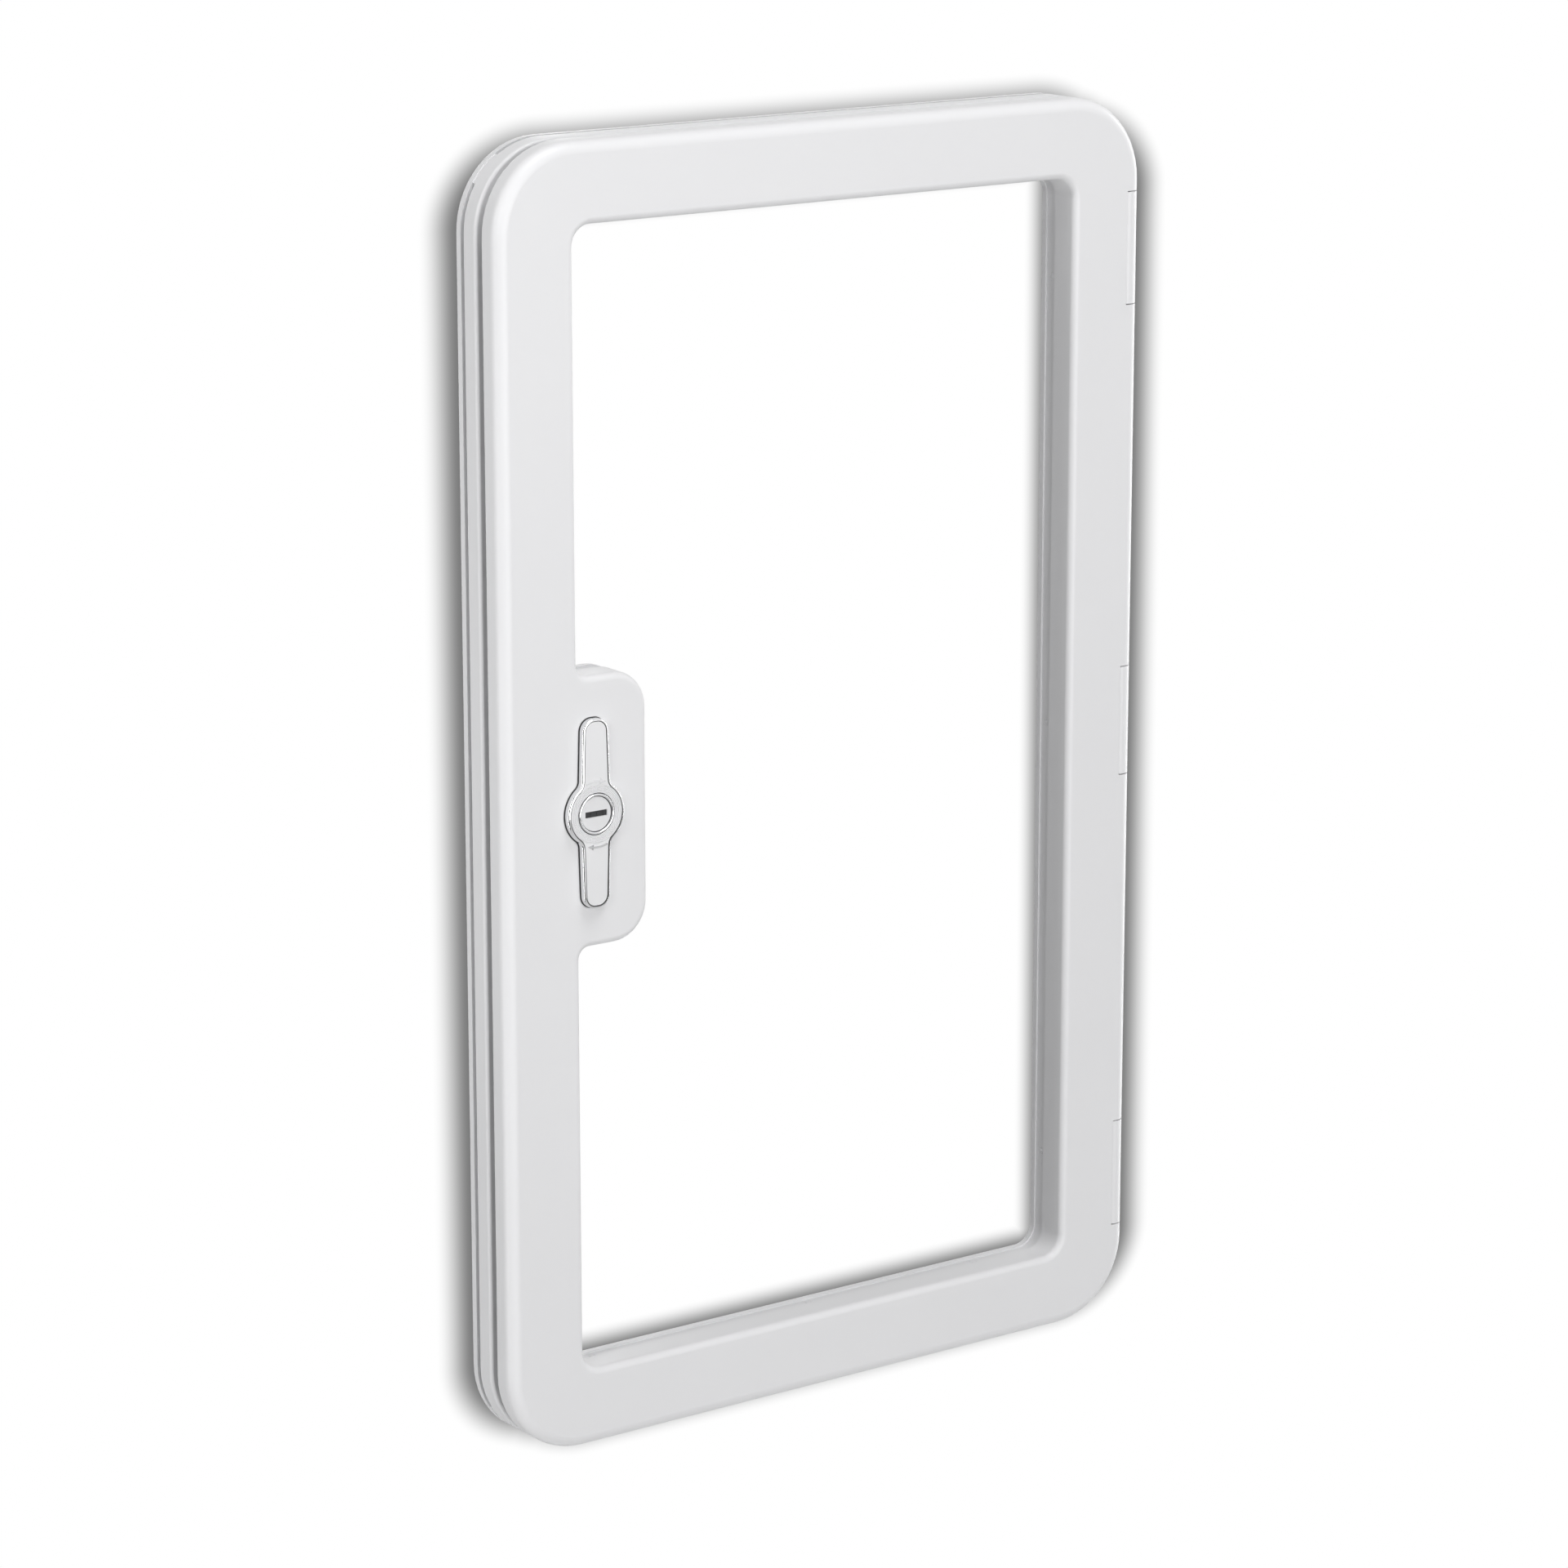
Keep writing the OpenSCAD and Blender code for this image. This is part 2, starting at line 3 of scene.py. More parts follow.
import json
import logging
import math
from collections.abc import Callable
from dataclasses import dataclass
from enum import Enum

import bpy
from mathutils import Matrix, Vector


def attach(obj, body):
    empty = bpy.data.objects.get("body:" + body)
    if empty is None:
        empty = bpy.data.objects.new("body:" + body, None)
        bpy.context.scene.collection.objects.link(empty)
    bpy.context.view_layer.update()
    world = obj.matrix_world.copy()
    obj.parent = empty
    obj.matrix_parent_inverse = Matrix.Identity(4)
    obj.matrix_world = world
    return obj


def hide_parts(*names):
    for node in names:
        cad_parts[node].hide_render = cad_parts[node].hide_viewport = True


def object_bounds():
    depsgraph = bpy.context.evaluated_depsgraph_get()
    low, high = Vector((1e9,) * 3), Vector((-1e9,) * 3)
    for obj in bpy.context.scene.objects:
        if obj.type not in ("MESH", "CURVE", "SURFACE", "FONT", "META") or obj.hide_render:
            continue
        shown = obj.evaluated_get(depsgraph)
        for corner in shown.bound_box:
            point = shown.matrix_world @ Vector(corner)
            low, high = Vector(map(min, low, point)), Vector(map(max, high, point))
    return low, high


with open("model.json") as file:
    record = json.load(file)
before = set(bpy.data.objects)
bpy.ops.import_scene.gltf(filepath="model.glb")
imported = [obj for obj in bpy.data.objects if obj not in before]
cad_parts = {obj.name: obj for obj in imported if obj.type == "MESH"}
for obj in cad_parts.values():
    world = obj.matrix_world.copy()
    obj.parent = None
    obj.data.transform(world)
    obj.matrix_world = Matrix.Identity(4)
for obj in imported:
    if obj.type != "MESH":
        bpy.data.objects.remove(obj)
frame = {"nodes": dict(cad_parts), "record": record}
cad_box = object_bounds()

logging.basicConfig(level=logging.INFO, format="%(message)s")
log = logging.getLogger("service_hatch")

MM = 0.001
IMAGE_SIDE = 1920
CENTRE_Z = 366.0
FRONT = Vector((0, -1, 0))
WELD_REACH = 0.000004
SAME_HEIGHT = 0.01

Point = tuple[float, float]
Place = tuple[float, float, float]
Colour = tuple[float, float, float]


class Slot(Enum):
    """The record's material slots."""

    FRAME = "frame_plastic"
    DOOR = "door_plastic"
    SEAL = "seal_rubber"
    ZINC = "zinc_steel"
    LOCK = "lock_plastic"
    CHROME = "handle_chrome"
    FACE = "handle_face"
    KEY = "key_metal"


class Body(Enum):
    """The moving bodies of the hatch."""

    FIXED = "fixed_frame"
    DOOR = "door"
    HANDLE = "handle"
    KEY = "key"


class NodeSheet:
    """A material's or a group's node tree, with short calls to fill it."""

    def __init__(self, tree: bpy.types.NodeTree) -> None:
        """Empties the tree.

        Args:
            tree: The node tree to fill.
        """
        self.tree = tree
        tree.nodes.clear()

    def add(self, kind: str, **values: object) -> bpy.types.Node:
        """Adds a node.

        Args:
            kind: The node's type name, such as ShaderNodeBump.
            **values: Its properties, and with a capital letter its inputs, with underscores for spaces.

        Returns:
            The new node.
        """
        node = self.tree.nodes.new(kind)
        for key, value in values.items():
            if key[0].isupper():
                self.link(value, node.inputs[key.replace("_", " ")])
            else:
                setattr(node, key, value)
        return node

    def link(self, start: object, end: bpy.types.NodeSocket) -> None:
        """Joins an output to an input, or sets the input to a plain value."""
        if isinstance(start, bpy.types.NodeSocket):
            self.tree.links.new(start, end)
        else:
            end.default_value = start

    def maths(self, operation: str, first: object, second: object) -> bpy.types.NodeSocket:
        """Adds a Math node whose two inputs are sockets or numbers.

        Args:
            operation: The operation's name.
            first: A socket or a number.
            second: A socket or a number.

        Returns:
            The node's output.
        """
        node = self.add("ShaderNodeMath", operation=operation)
        for socket, value in zip(node.inputs, (first, second)):
            self.link(value, socket)
        return node.outputs[0]


@dataclass(frozen=True)
class GroupSocket:
    """One input or output of a shared group."""

    name: str
    way: str
    kind: str = "NodeSocketFloat"
    value: float | None = None


def open_group(name: str, sockets: tuple[GroupSocket, ...]) -> tuple[NodeSheet, dict, dict]:
    """Starts a shader node group.

    Args:
        name: The group's name.
        sockets: Its inputs and outputs.

    Returns:
        The sheet, the inputs' sockets and the outputs' sockets by name.
    """
    tree = bpy.data.node_groups.new(name, "ShaderNodeTree")
    sheet = NodeSheet(tree)
    for item in sockets:
        made = tree.interface.new_socket(name=item.name, in_out=item.way, socket_type=item.kind)
        if item.value is not None:
            made.default_value = item.value
    inner = sheet.add("NodeGroupInput")
    outer = sheet.add("NodeGroupOutput")
    return sheet, {s.name: s for s in inner.outputs}, {s.name: s for s in outer.inputs}


def moulding_group() -> bpy.types.NodeTree:
    """Builds the surface of moulded plastic: fine grain, slow flow waves and rubbed patches.

    Returns:
        A group from object coordinates to a height, a roughness and a shade.
    """
    sheet, given, made = open_group("moulded_surface", (
        GroupSocket("Place", "INPUT", "NodeSocketVector"),
        GroupSocket("Grain Scale", "INPUT", value=1800.0),
        GroupSocket("Grain Height", "INPUT", value=0.25),
        GroupSocket("Wave Height", "INPUT", value=0.35),
        GroupSocket("Base Roughness", "INPUT", value=0.34),
        GroupSocket("Roughness Spread", "INPUT", value=0.08),
        GroupSocket("Height", "OUTPUT"),
        GroupSocket("Roughness", "OUTPUT"),
        GroupSocket("Shade", "OUTPUT"),
    ))
    place = given["Place"]
    grain = sheet.add("ShaderNodeTexNoise", Vector=place, Scale=given["Grain Scale"], Detail=2.0)
    wave = sheet.add("ShaderNodeTexNoise", Vector=place, Scale=14.0, Detail=1.0)
    patch = sheet.add("ShaderNodeTexNoise", Vector=place, Scale=5.0, Detail=4.0, Distortion=0.6)
    fine = sheet.maths("MULTIPLY", grain.outputs["Fac"], given["Grain Height"])
    slow = sheet.maths("MULTIPLY", wave.outputs["Fac"], given["Wave Height"])
    sheet.link(sheet.maths("ADD", fine, slow), made["Height"])
    centred = sheet.maths("SUBTRACT", patch.outputs["Fac"], 0.5)
    spread = sheet.maths("MULTIPLY", centred, given["Roughness Spread"])
    sheet.link(sheet.maths("ADD", spread, given["Base Roughness"]), made["Roughness"])
    sheet.link(patch.outputs["Fac"], made["Shade"])
    return sheet.tree


def speck_group() -> bpy.types.NodeTree:
    """Builds sparse tiny specks, as dust leaves on a light moulding.

    Returns:
        A group from object coordinates to a mask.
    """
    sheet, given, made = open_group("dust_specks", (
        GroupSocket("Place", "INPUT", "NodeSocketVector"),
        GroupSocket("Scale", "INPUT", value=60.0),
        GroupSocket("Size", "INPUT", value=0.03),
        GroupSocket("Share", "INPUT", value=0.06),
        GroupSocket("Mask", "OUTPUT"),
    ))
    cells = sheet.add("ShaderNodeTexVoronoi", Vector=given["Place"], Scale=given["Scale"])
    near = sheet.maths("LESS_THAN", cells.outputs["Distance"], given["Size"])
    split = sheet.add("ShaderNodeSeparateColor", Color=cells.outputs["Color"])
    rare = sheet.maths("LESS_THAN", split.outputs[0], given["Share"])
    sheet.link(sheet.maths("MULTIPLY", near, rare), made["Mask"])
    return sheet.tree


def metal_group() -> bpy.types.NodeTree:
    """Builds the surface of plated or polished metal: handling haze and fine scratches.

    Returns:
        A group from object coordinates to a height and a roughness.
    """
    sheet, given, made = open_group("plated_surface", (
        GroupSocket("Place", "INPUT", "NodeSocketVector"),
        GroupSocket("Base Roughness", "INPUT", value=0.1),
        GroupSocket("Haze", "INPUT", value=0.05),
        GroupSocket("Scratch Height", "INPUT", value=0.1),
        GroupSocket("Height", "OUTPUT"),
        GroupSocket("Roughness", "OUTPUT"),
    ))
    haze = sheet.add("ShaderNodeTexNoise", Vector=given["Place"], Scale=90.0, Detail=3.0)
    stretch = sheet.add("ShaderNodeMapping", Vector=given["Place"], Scale=(2400.0, 400.0, 60.0))
    lines = sheet.add("ShaderNodeTexNoise", Vector=stretch.outputs["Vector"], Scale=1.0, Detail=2.0)
    centred = sheet.maths("SUBTRACT", haze.outputs["Fac"], 0.5)
    spread = sheet.maths("MULTIPLY", centred, given["Haze"])
    sheet.link(sheet.maths("ADD", spread, given["Base Roughness"]), made["Roughness"])
    sheet.link(sheet.maths("MULTIPLY", lines.outputs["Fac"], given["Scratch Height"]), made["Height"])
    return sheet.tree


@dataclass
class GroupShelf:
    """The shared groups, each built once."""

    moulding: bpy.types.NodeTree
    specks: bpy.types.NodeTree
    metal: bpy.types.NodeTree

    @classmethod
    def build(cls) -> "GroupShelf":
        """Builds every shared group."""
        return cls(moulding_group(), speck_group(), metal_group())


def new_sheet(name: str) -> tuple[bpy.types.Material, NodeSheet]:
    """Makes a material with an empty sheet.

    Args:
        name: The material's name.

    Returns:
        The material and its sheet.
    """
    material = bpy.data.materials.new(name)
    material.use_nodes = True
    return material, NodeSheet(material.node_tree)


def mix_surface(
    sheet: NodeSheet,
    share: bpy.types.NodeSocket,
    usual: bpy.types.NodeSocket,
    special: bpy.types.NodeSocket,
) -> None:
    """Shows one shader, and another where the share is 1.

    Args:
        sheet: The material's sheet.
        share: The share of the special shader.
        usual: The shader where the share is 0.
        special: The shader where it is 1.
    """
    mix = sheet.add("ShaderNodeMixShader", Fac=share)
    sheet.link(usual, mix.inputs[1])
    sheet.link(special, mix.inputs[2])
    sheet.add("ShaderNodeOutputMaterial", Surface=mix.outputs["Shader"])


class PaintSheet(NodeSheet):
    """A new material's sheet, with a Principled shader and object coordinates."""

    def __init__(self, name: str) -> None:
        """Makes the material.

        Args:
            name: The material's name.
        """
        self.material = bpy.data.materials.new(name)
        self.material.use_nodes = True
        super().__init__(self.material.node_tree)
        self.shader = self.add("ShaderNodeBsdfPrincipled")
        self.add("ShaderNodeOutputMaterial", Surface=self.shader.outputs["BSDF"])
        self.place = self.add("ShaderNodeTexCoord").outputs["Object"]

    def relief(self, surface: bpy.types.Node, depth: float) -> bpy.types.Material:
        """Feeds a surface group's roughness and height to the shader.

        Args:
            surface: The group's node.
            depth: How deep a height of 1 is, in metres.

        Returns:
            The finished material.
        """
        self.link(surface.outputs["Roughness"], self.shader.inputs["Roughness"])
        bump = self.add("ShaderNodeBump", Strength=1.0, Distance=depth, Height=surface.outputs["Height"])
        self.link(bump.outputs["Normal"], self.shader.inputs["Normal"])
        return self.material


@dataclass(frozen=True)
class MouldedPlastic:
    """Satin moulded plastic: a light body colour with fine grain, flow waves and a few specks."""

    name: str
    colour: Colour
    shade_colour: Colour
    roughness: float = 0.36
    spread: float = 0.08
    grain: float = 0.5
    wave: float = 1.0
    specular: float = 0.3
    depth: float = 0.00002
    specks: bool = True
    speck_colour: Colour = (0.30, 0.30, 0.31)
    speck_scale: float = 26.0
    speck_size: float = 0.022
    speck_share: float = 0.05

    def build(self, shelf: GroupShelf) -> bpy.types.Material:
        """Builds the material.

        Args:
            shelf: The shared groups.

        Returns:
            The material.
        """
        sheet = PaintSheet(self.name)
        surface = sheet.add(
            "ShaderNodeGroup", node_tree=shelf.moulding, Place=sheet.place,
            Grain_Height=self.grain, Wave_Height=self.wave,
            Base_Roughness=self.roughness, Roughness_Spread=self.spread,
        )
        tint = sheet.add(
            "ShaderNodeMix", data_type="RGBA", Factor=surface.outputs["Shade"],
            A=(*self.shade_colour, 1.0), B=(*self.colour, 1.0),
        )
        colour = tint.outputs["Result"]
        if self.specks:
            dust = sheet.add(
                "ShaderNodeGroup", node_tree=shelf.specks, Place=sheet.place,
                Scale=self.speck_scale, Size=self.speck_size, Share=self.speck_share,
            )
            dirt = sheet.add(
                "ShaderNodeMix", data_type="RGBA", Factor=dust.outputs["Mask"],
                A=colour, B=(*self.speck_colour, 1.0),
            )
            colour = dirt.outputs["Result"]
        sheet.link(colour, sheet.shader.inputs["Base Color"])
        sheet.shader.inputs["Specular IOR Level"].default_value = self.specular
        return sheet.relief(surface, self.depth)


@dataclass(frozen=True)
class PlatedMetal:
    """Chromed, zinc-plated or satin metal, with haze from handling and fine scratches."""

    name: str
    colour: Colour
    roughness: float
    haze: float
    scratch: float = 0.1
    metallic: float = 1.0
    depth: float = 0.00001

    def build(self, shelf: GroupShelf) -> bpy.types.Material:
        """Builds the material.

        Args:
            shelf: The shared groups.

        Returns:
            The material.
        """
        sheet = PaintSheet(self.name)
        surface = sheet.add(
            "ShaderNodeGroup", node_tree=shelf.metal, Place=sheet.place,
            Base_Roughness=self.roughness, Haze=self.haze, Scratch_Height=self.scratch,
        )
        sheet.shader.inputs["Base Color"].default_value = (*self.colour, 1.0)
        sheet.shader.inputs["Metallic"].default_value = self.metallic
        return sheet.relief(surface, self.depth)


@dataclass(frozen=True)
class SoftRubber:
    """Black sealing rubber with a bloomed, slightly dusty skin."""

    name: str = "sealing_rubber"
    colour: Colour = (0.03, 0.03, 0.032)
    bloom: Colour = (0.10, 0.10, 0.10)
    depth: float = 0.00005

    def build(self, shelf: GroupShelf) -> bpy.types.Material:
        """Builds the material.

        Args:
            shelf: The shared groups.

        Returns:
            The material.
        """
        sheet = PaintSheet(self.name)
        surface = sheet.add(
            "ShaderNodeGroup", node_tree=shelf.moulding, Place=sheet.place,
            Grain_Scale=900.0, Grain_Height=1.0, Base_Roughness=0.72, Roughness_Spread=0.2,
        )
        tint = sheet.add(
            "ShaderNodeMix", data_type="RGBA", Factor=surface.outputs["Shade"],
            A=(*self.colour, 1.0), B=(*self.bloom, 1.0),
        )
        sheet.link(tint.outputs["Result"], sheet.shader.inputs["Base Color"])
        return sheet.relief(surface, self.depth)


@dataclass
class FinishBook:
    """One material for each of the record's slots."""

    by_slot: dict[Slot, bpy.types.Material]

    @classmethod
    def build(cls) -> "FinishBook":
        """Builds every finish on the shared groups."""
        shelf = GroupShelf.build()
        white = (0.83, 0.83, 0.84)
        white_shade = (0.80, 0.80, 0.812)
        finishes = {
            Slot.DOOR: MouldedPlastic("white_door_plastic", white, white_shade),
            Slot.FRAME: MouldedPlastic("white_frame_plastic", white, white_shade, specks=False),
            # Near-black lock plastic, also worn by the pieces that are painted shade in the handle's gaps
            # and key slot.
            Slot.LOCK: MouldedPlastic("dark_lock_plastic_and_painted_shade", (0.05, 0.05, 0.052), (0.035, 0.035, 0.036),
                                      specks=False),
            Slot.SEAL: SoftRubber(),
            Slot.ZINC: PlatedMetal("zinc_plate", (0.62, 0.62, 0.62), 0.32, 0.25, scratch=0.6),
            Slot.CHROME: PlatedMetal("handle_chrome", (0.80, 0.80, 0.81), 0.09, 0.05),
            Slot.FACE: PlatedMetal("handle_satin", (0.82, 0.82, 0.83), 0.33, 0.08, metallic=0.25),
            Slot.KEY: PlatedMetal("key_satin", (0.80, 0.80, 0.81), 0.30, 0.08, metallic=0.25),
        }
        return cls({slot: finish.build(shelf) for slot, finish in finishes.items()})

    def dress(self, piece: bpy.types.Object, slot: Slot) -> None:
        """Gives a piece the slot's material.

        Args:
            piece: A CAD node or a new piece.
            slot: The record's slot.
        """
        piece.data.materials.clear()
        piece.data.materials.append(self.by_slot[slot])

    def dress_nodes(self) -> None:
        """Gives every CAD node the material of its slot in the record."""
        for part in frame["record"]["subparts"]:
            node = frame["nodes"][part["node"]]
            self.dress(node, Slot(part["material_slot"]))
            log.info("dressed %s in %s", part["node"], part["material_slot"])


def select_only(piece: bpy.types.Object) -> None:
    """Selects one object and makes it the active one."""
    bpy.ops.object.select_all(action="DESELECT")
    piece.select_set(True)
    bpy.context.view_layer.objects.active = piece


class Bench:
    """A new piece in edit mode, drawn in millimetres in a plane of its own."""

    def __init__(self, name: str, origin: Vector, across: Vector, up: Vector, arc_step: float) -> None:
        """Chooses the drawing plane.

        Args:
            name: The piece's name.
            origin: The plane's origin, in metres.
            across: The first direction.
            up: The second direction.
            arc_step: The most degrees that one segment of an arc turns.
        """
        self.name = name
        self.origin = origin
        self.across = across
        self.up = up
        self.normal = across.cross(up)
        self.arc_step = arc_step
        self.at: Point = (0.0, 0.0)
        self.piece: bpy.types.Object | None = None

    @classmethod
    def facing(cls, name: str, origin: Vector, arc_step: float = 5.0) -> "Bench":
        """Draws flat on the hatch, seen from the front, with the lift towards the viewer."""
        return cls(name, origin, Vector((1, 0, 0)), Vector((0, 0, 1)), arc_step)

    @classmethod
    def lathe(cls, name: str, origin: Vector, outward: Vector, arc_step: float = 15.0) -> "Bench":
        """Draws a half section, from the radius and the height along an axis, to be revolved."""
        across = Vector((1, 0, 0)) if outward.z else Vector((0, 0, 1))
        return cls(name, origin, across, outward, arc_step)

    def place(self, point: Point) -> Vector:
        """Gives the frame's point of a drawn point."""
        return self.origin + (self.across * point[0] + self.up * point[1]) * MM

    def start(self, point: Point) -> "Bench":
        """Puts down the first point."""
        if bpy.context.mode != "OBJECT":
            bpy.ops.object.mode_set(mode="OBJECT")
        bpy.ops.object.select_all(action="DESELECT")
        bpy.ops.mesh.primitive_plane_add(size=MM, location=self.place(point))
        bpy.ops.object.transform_apply(location=True, rotation=True, scale=True)
        self.piece = bpy.context.object
        self.piece.name = self.name
        bpy.ops.object.mode_set(mode="EDIT")
        bpy.ops.mesh.select_mode(type="VERT")
        bpy.ops.mesh.select_all(action="SELECT")
        bpy.ops.mesh.merge(type="CENTER")
        self.at = point
        return self

    def line(self, *points: Point) -> "Bench":
        """Extrudes the last point to each next one."""
        for point in points:
            step = self.place(point) - self.place(self.at)
            bpy.ops.mesh.extrude_region_move(TRANSFORM_OT_translate={"value": step})
            self.at = point
        return self

    def arc(self, centre: Point, degrees: float) -> "Bench":
        """Spins the last point round a centre, anticlockwise where the angle is positive."""
        steps = max(1, math.ceil(abs(degrees) / self.arc_step))
        turn = math.radians(degrees)
        sense = 1.0 if turn > 0 else -1.0
        bpy.ops.mesh.spin(steps=steps, angle=abs(turn), center=self.place(centre), axis=-sense * self.normal)
        out_x, out_y = self.at[0] - centre[0], self.at[1] - centre[1]
        self.at = (centre[0] + out_x * math.cos(turn) - out_y * math.sin(turn),
                   centre[1] + out_x * math.sin(turn) + out_y * math.cos(turn))
        return self

    def weld(self) -> "Bench":
        """Merges the points that meet."""
        bpy.ops.mesh.select_all(action="SELECT")
        bpy.ops.mesh.remove_doubles(threshold=WELD_REACH)
        return self

    def mirror(self, direction: Vector) -> "Bench":
        """Copies everything to the other side of the origin, and joins the halves."""
        bpy.ops.mesh.select_all(action="SELECT")
        bpy.ops.mesh.duplicate()
        value = tuple(1 - 2 * abs(part) for part in direction)
        bpy.ops.transform.resize(value=value, center_override=self.origin)
        return self.weld()

    def fill(self) -> "Bench":
        """Closes the drawn loop with a face."""
        bpy.ops.mesh.select_all(action="SELECT")
        bpy.ops.mesh.edge_face_add()
        return self

    def extrude(self, height: float) -> "Bench":
        """Extrudes the selected faces along the plane's normal."""
        bpy.ops.mesh.extrude_region_move(TRANSFORM_OT_translate={"value": self.normal * height * MM})
        return self

    def inset(self, width: float) -> "Bench":
        """Insets the selected face."""
        bpy.ops.mesh.inset(thickness=width * MM, use_even_offset=True)
        return self

    def pick(self, kind: str, test: Callable[[float, float, float], bool]) -> "Bench":
        """Selects the edges or faces whose corners all pass a test.

        Args:
            kind: EDGE or FACE.
            test: Takes a corner's two places in the plane and its lift, in millimetres.

        Returns:
            The bench.
        """
        bpy.ops.mesh.select_mode(type=kind)
        bpy.ops.mesh.select_all(action="DESELECT")
        bpy.ops.object.mode_set(mode="OBJECT")
        data = self.piece.data
        passed = []
        for vertex in data.vertices:
            place = (vertex.co - self.origin) / MM
            passed.append(test(place.dot(self.across), place.dot(self.up), place.dot(self.normal)))
        for item in data.edges if kind == "EDGE" else data.polygons:
            item.select = all(passed[index] for index in item.vertices)
        bpy.ops.object.mode_set(mode="EDIT")
        return self

    def bevel(self, width: float, segments: int) -> "Bench":
        """Rounds the selected edges."""
        bpy.ops.mesh.bevel(offset=width * MM, segments=segments, profile=0.5, affect="EDGES")
        return self

    def block(self, half: Point, depth: float) -> "Bench":
        """Draws a rectangle about the origin and extrudes it.

        Args:
            half: Its half width and half height.
            depth: How far it is extruded.

        Returns:
            The bench.
        """
        a, b = half
        self.start((-a, -b)).line((a, -b), (a, b), (-a, b), (-a, -b))
        return self.weld().fill().extrude(depth)

    def revolve(self, steps: int) -> "Bench":
        """Spins the drawn half section all the way round the axis."""
        bpy.ops.mesh.select_all(action="SELECT")
        bpy.ops.mesh.spin(steps=steps, angle=math.tau, center=self.origin, axis=self.up)
        return self.weld()

    def close(self) -> bpy.types.Object:
        """Leaves edit mode with the normals turned outwards.

        Returns:
            The piece.
        """
        if bpy.context.mode == "OBJECT":
            select_only(self.piece)
            bpy.ops.object.mode_set(mode="EDIT")
        self.weld()
        bpy.ops.mesh.normals_make_consistent(inside=False)
        bpy.ops.object.mode_set(mode="OBJECT")
        return self.piece

    def cut(self, *cutters: bpy.types.Object) -> "Bench":
        """Cuts closed shapes out of the piece and deletes them."""
        self.close()
        for cutter in cutters:
            select_only(self.piece)
            change = self.piece.modifiers.new("cut", "BOOLEAN")
            change.operation = "DIFFERENCE"
            change.solver = "EXACT"
            change.object = cutter
            bpy.ops.object.modifier_apply(modifier=change.name)
            bpy.data.objects.remove(cutter)
        bpy.ops.object.mode_set(mode="EDIT")
        return self

    def finish(self, angle: float = 32.0) -> bpy.types.Object:
        """Ends the modelling and shades the piece, with its flat faces kept flat.

        Args:
            angle: The sharpest turn, in degrees, that is shaded smooth.

        Returns:
            The piece.
        """
        select_only(self.close())
        bpy.ops.object.shade_smooth_by_angle(angle=math.radians(angle))
        even = self.piece.modifiers.new("even_normals", "WEIGHTED_NORMAL")
        even.keep_sharp = True
        bpy.ops.object.modifier_apply(modifier=even.name)
        log.info("modelled %s, %d faces", self.piece.name, len(self.piece.data.polygons))
        return self.piece


def spread_copies(first: bpy.types.Object, places: list[Point]) -> list[bpy.types.Object]:
    """Copies a piece, each copy with its own mesh, and moves each into its place.

    Args:
        first: The piece, which stays where it is.
        places: The places across and up, in millimetres, with the piece's own first.

    Returns:
        The piece and its copies.
    """
    made = [first]
    x, z = places[0]
    steps = [Vector(((far_x - x) * MM, 0, (far_z - z) * MM)) for far_x, far_z in places[1:]]
    for number, step in enumerate(steps, start=2):
        select_only(first)
        bpy.ops.object.duplicate(linked=False)
        copy = bpy.context.object
        copy.name = f"{first.name}_{number:02d}"
        bpy.ops.transform.translate(value=step)
        bpy.ops.object.transform_apply(location=True, rotation=True, scale=True)
        made.append(copy)
    first.name = f"{first.name}_01"
    return made


@dataclass
class Fitter:
    """Hands each new piece its finish, its body and the node that it stands for."""

    finishes: FinishBook

    def fit(self, piece: bpy.types.Object, slot: Slot, body: Body, *nodes: str) -> None:
        """Finishes a piece.

        Args:
            piece: The new piece, in its place.
            slot: The record's slot that it takes its finish from.
            body: The body that it rides on.
            *nodes: The CAD nodes that it replaces.
        """
        self.finishes.dress(piece, slot)
        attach(piece, body.value)
        if nodes:
            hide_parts(*nodes)


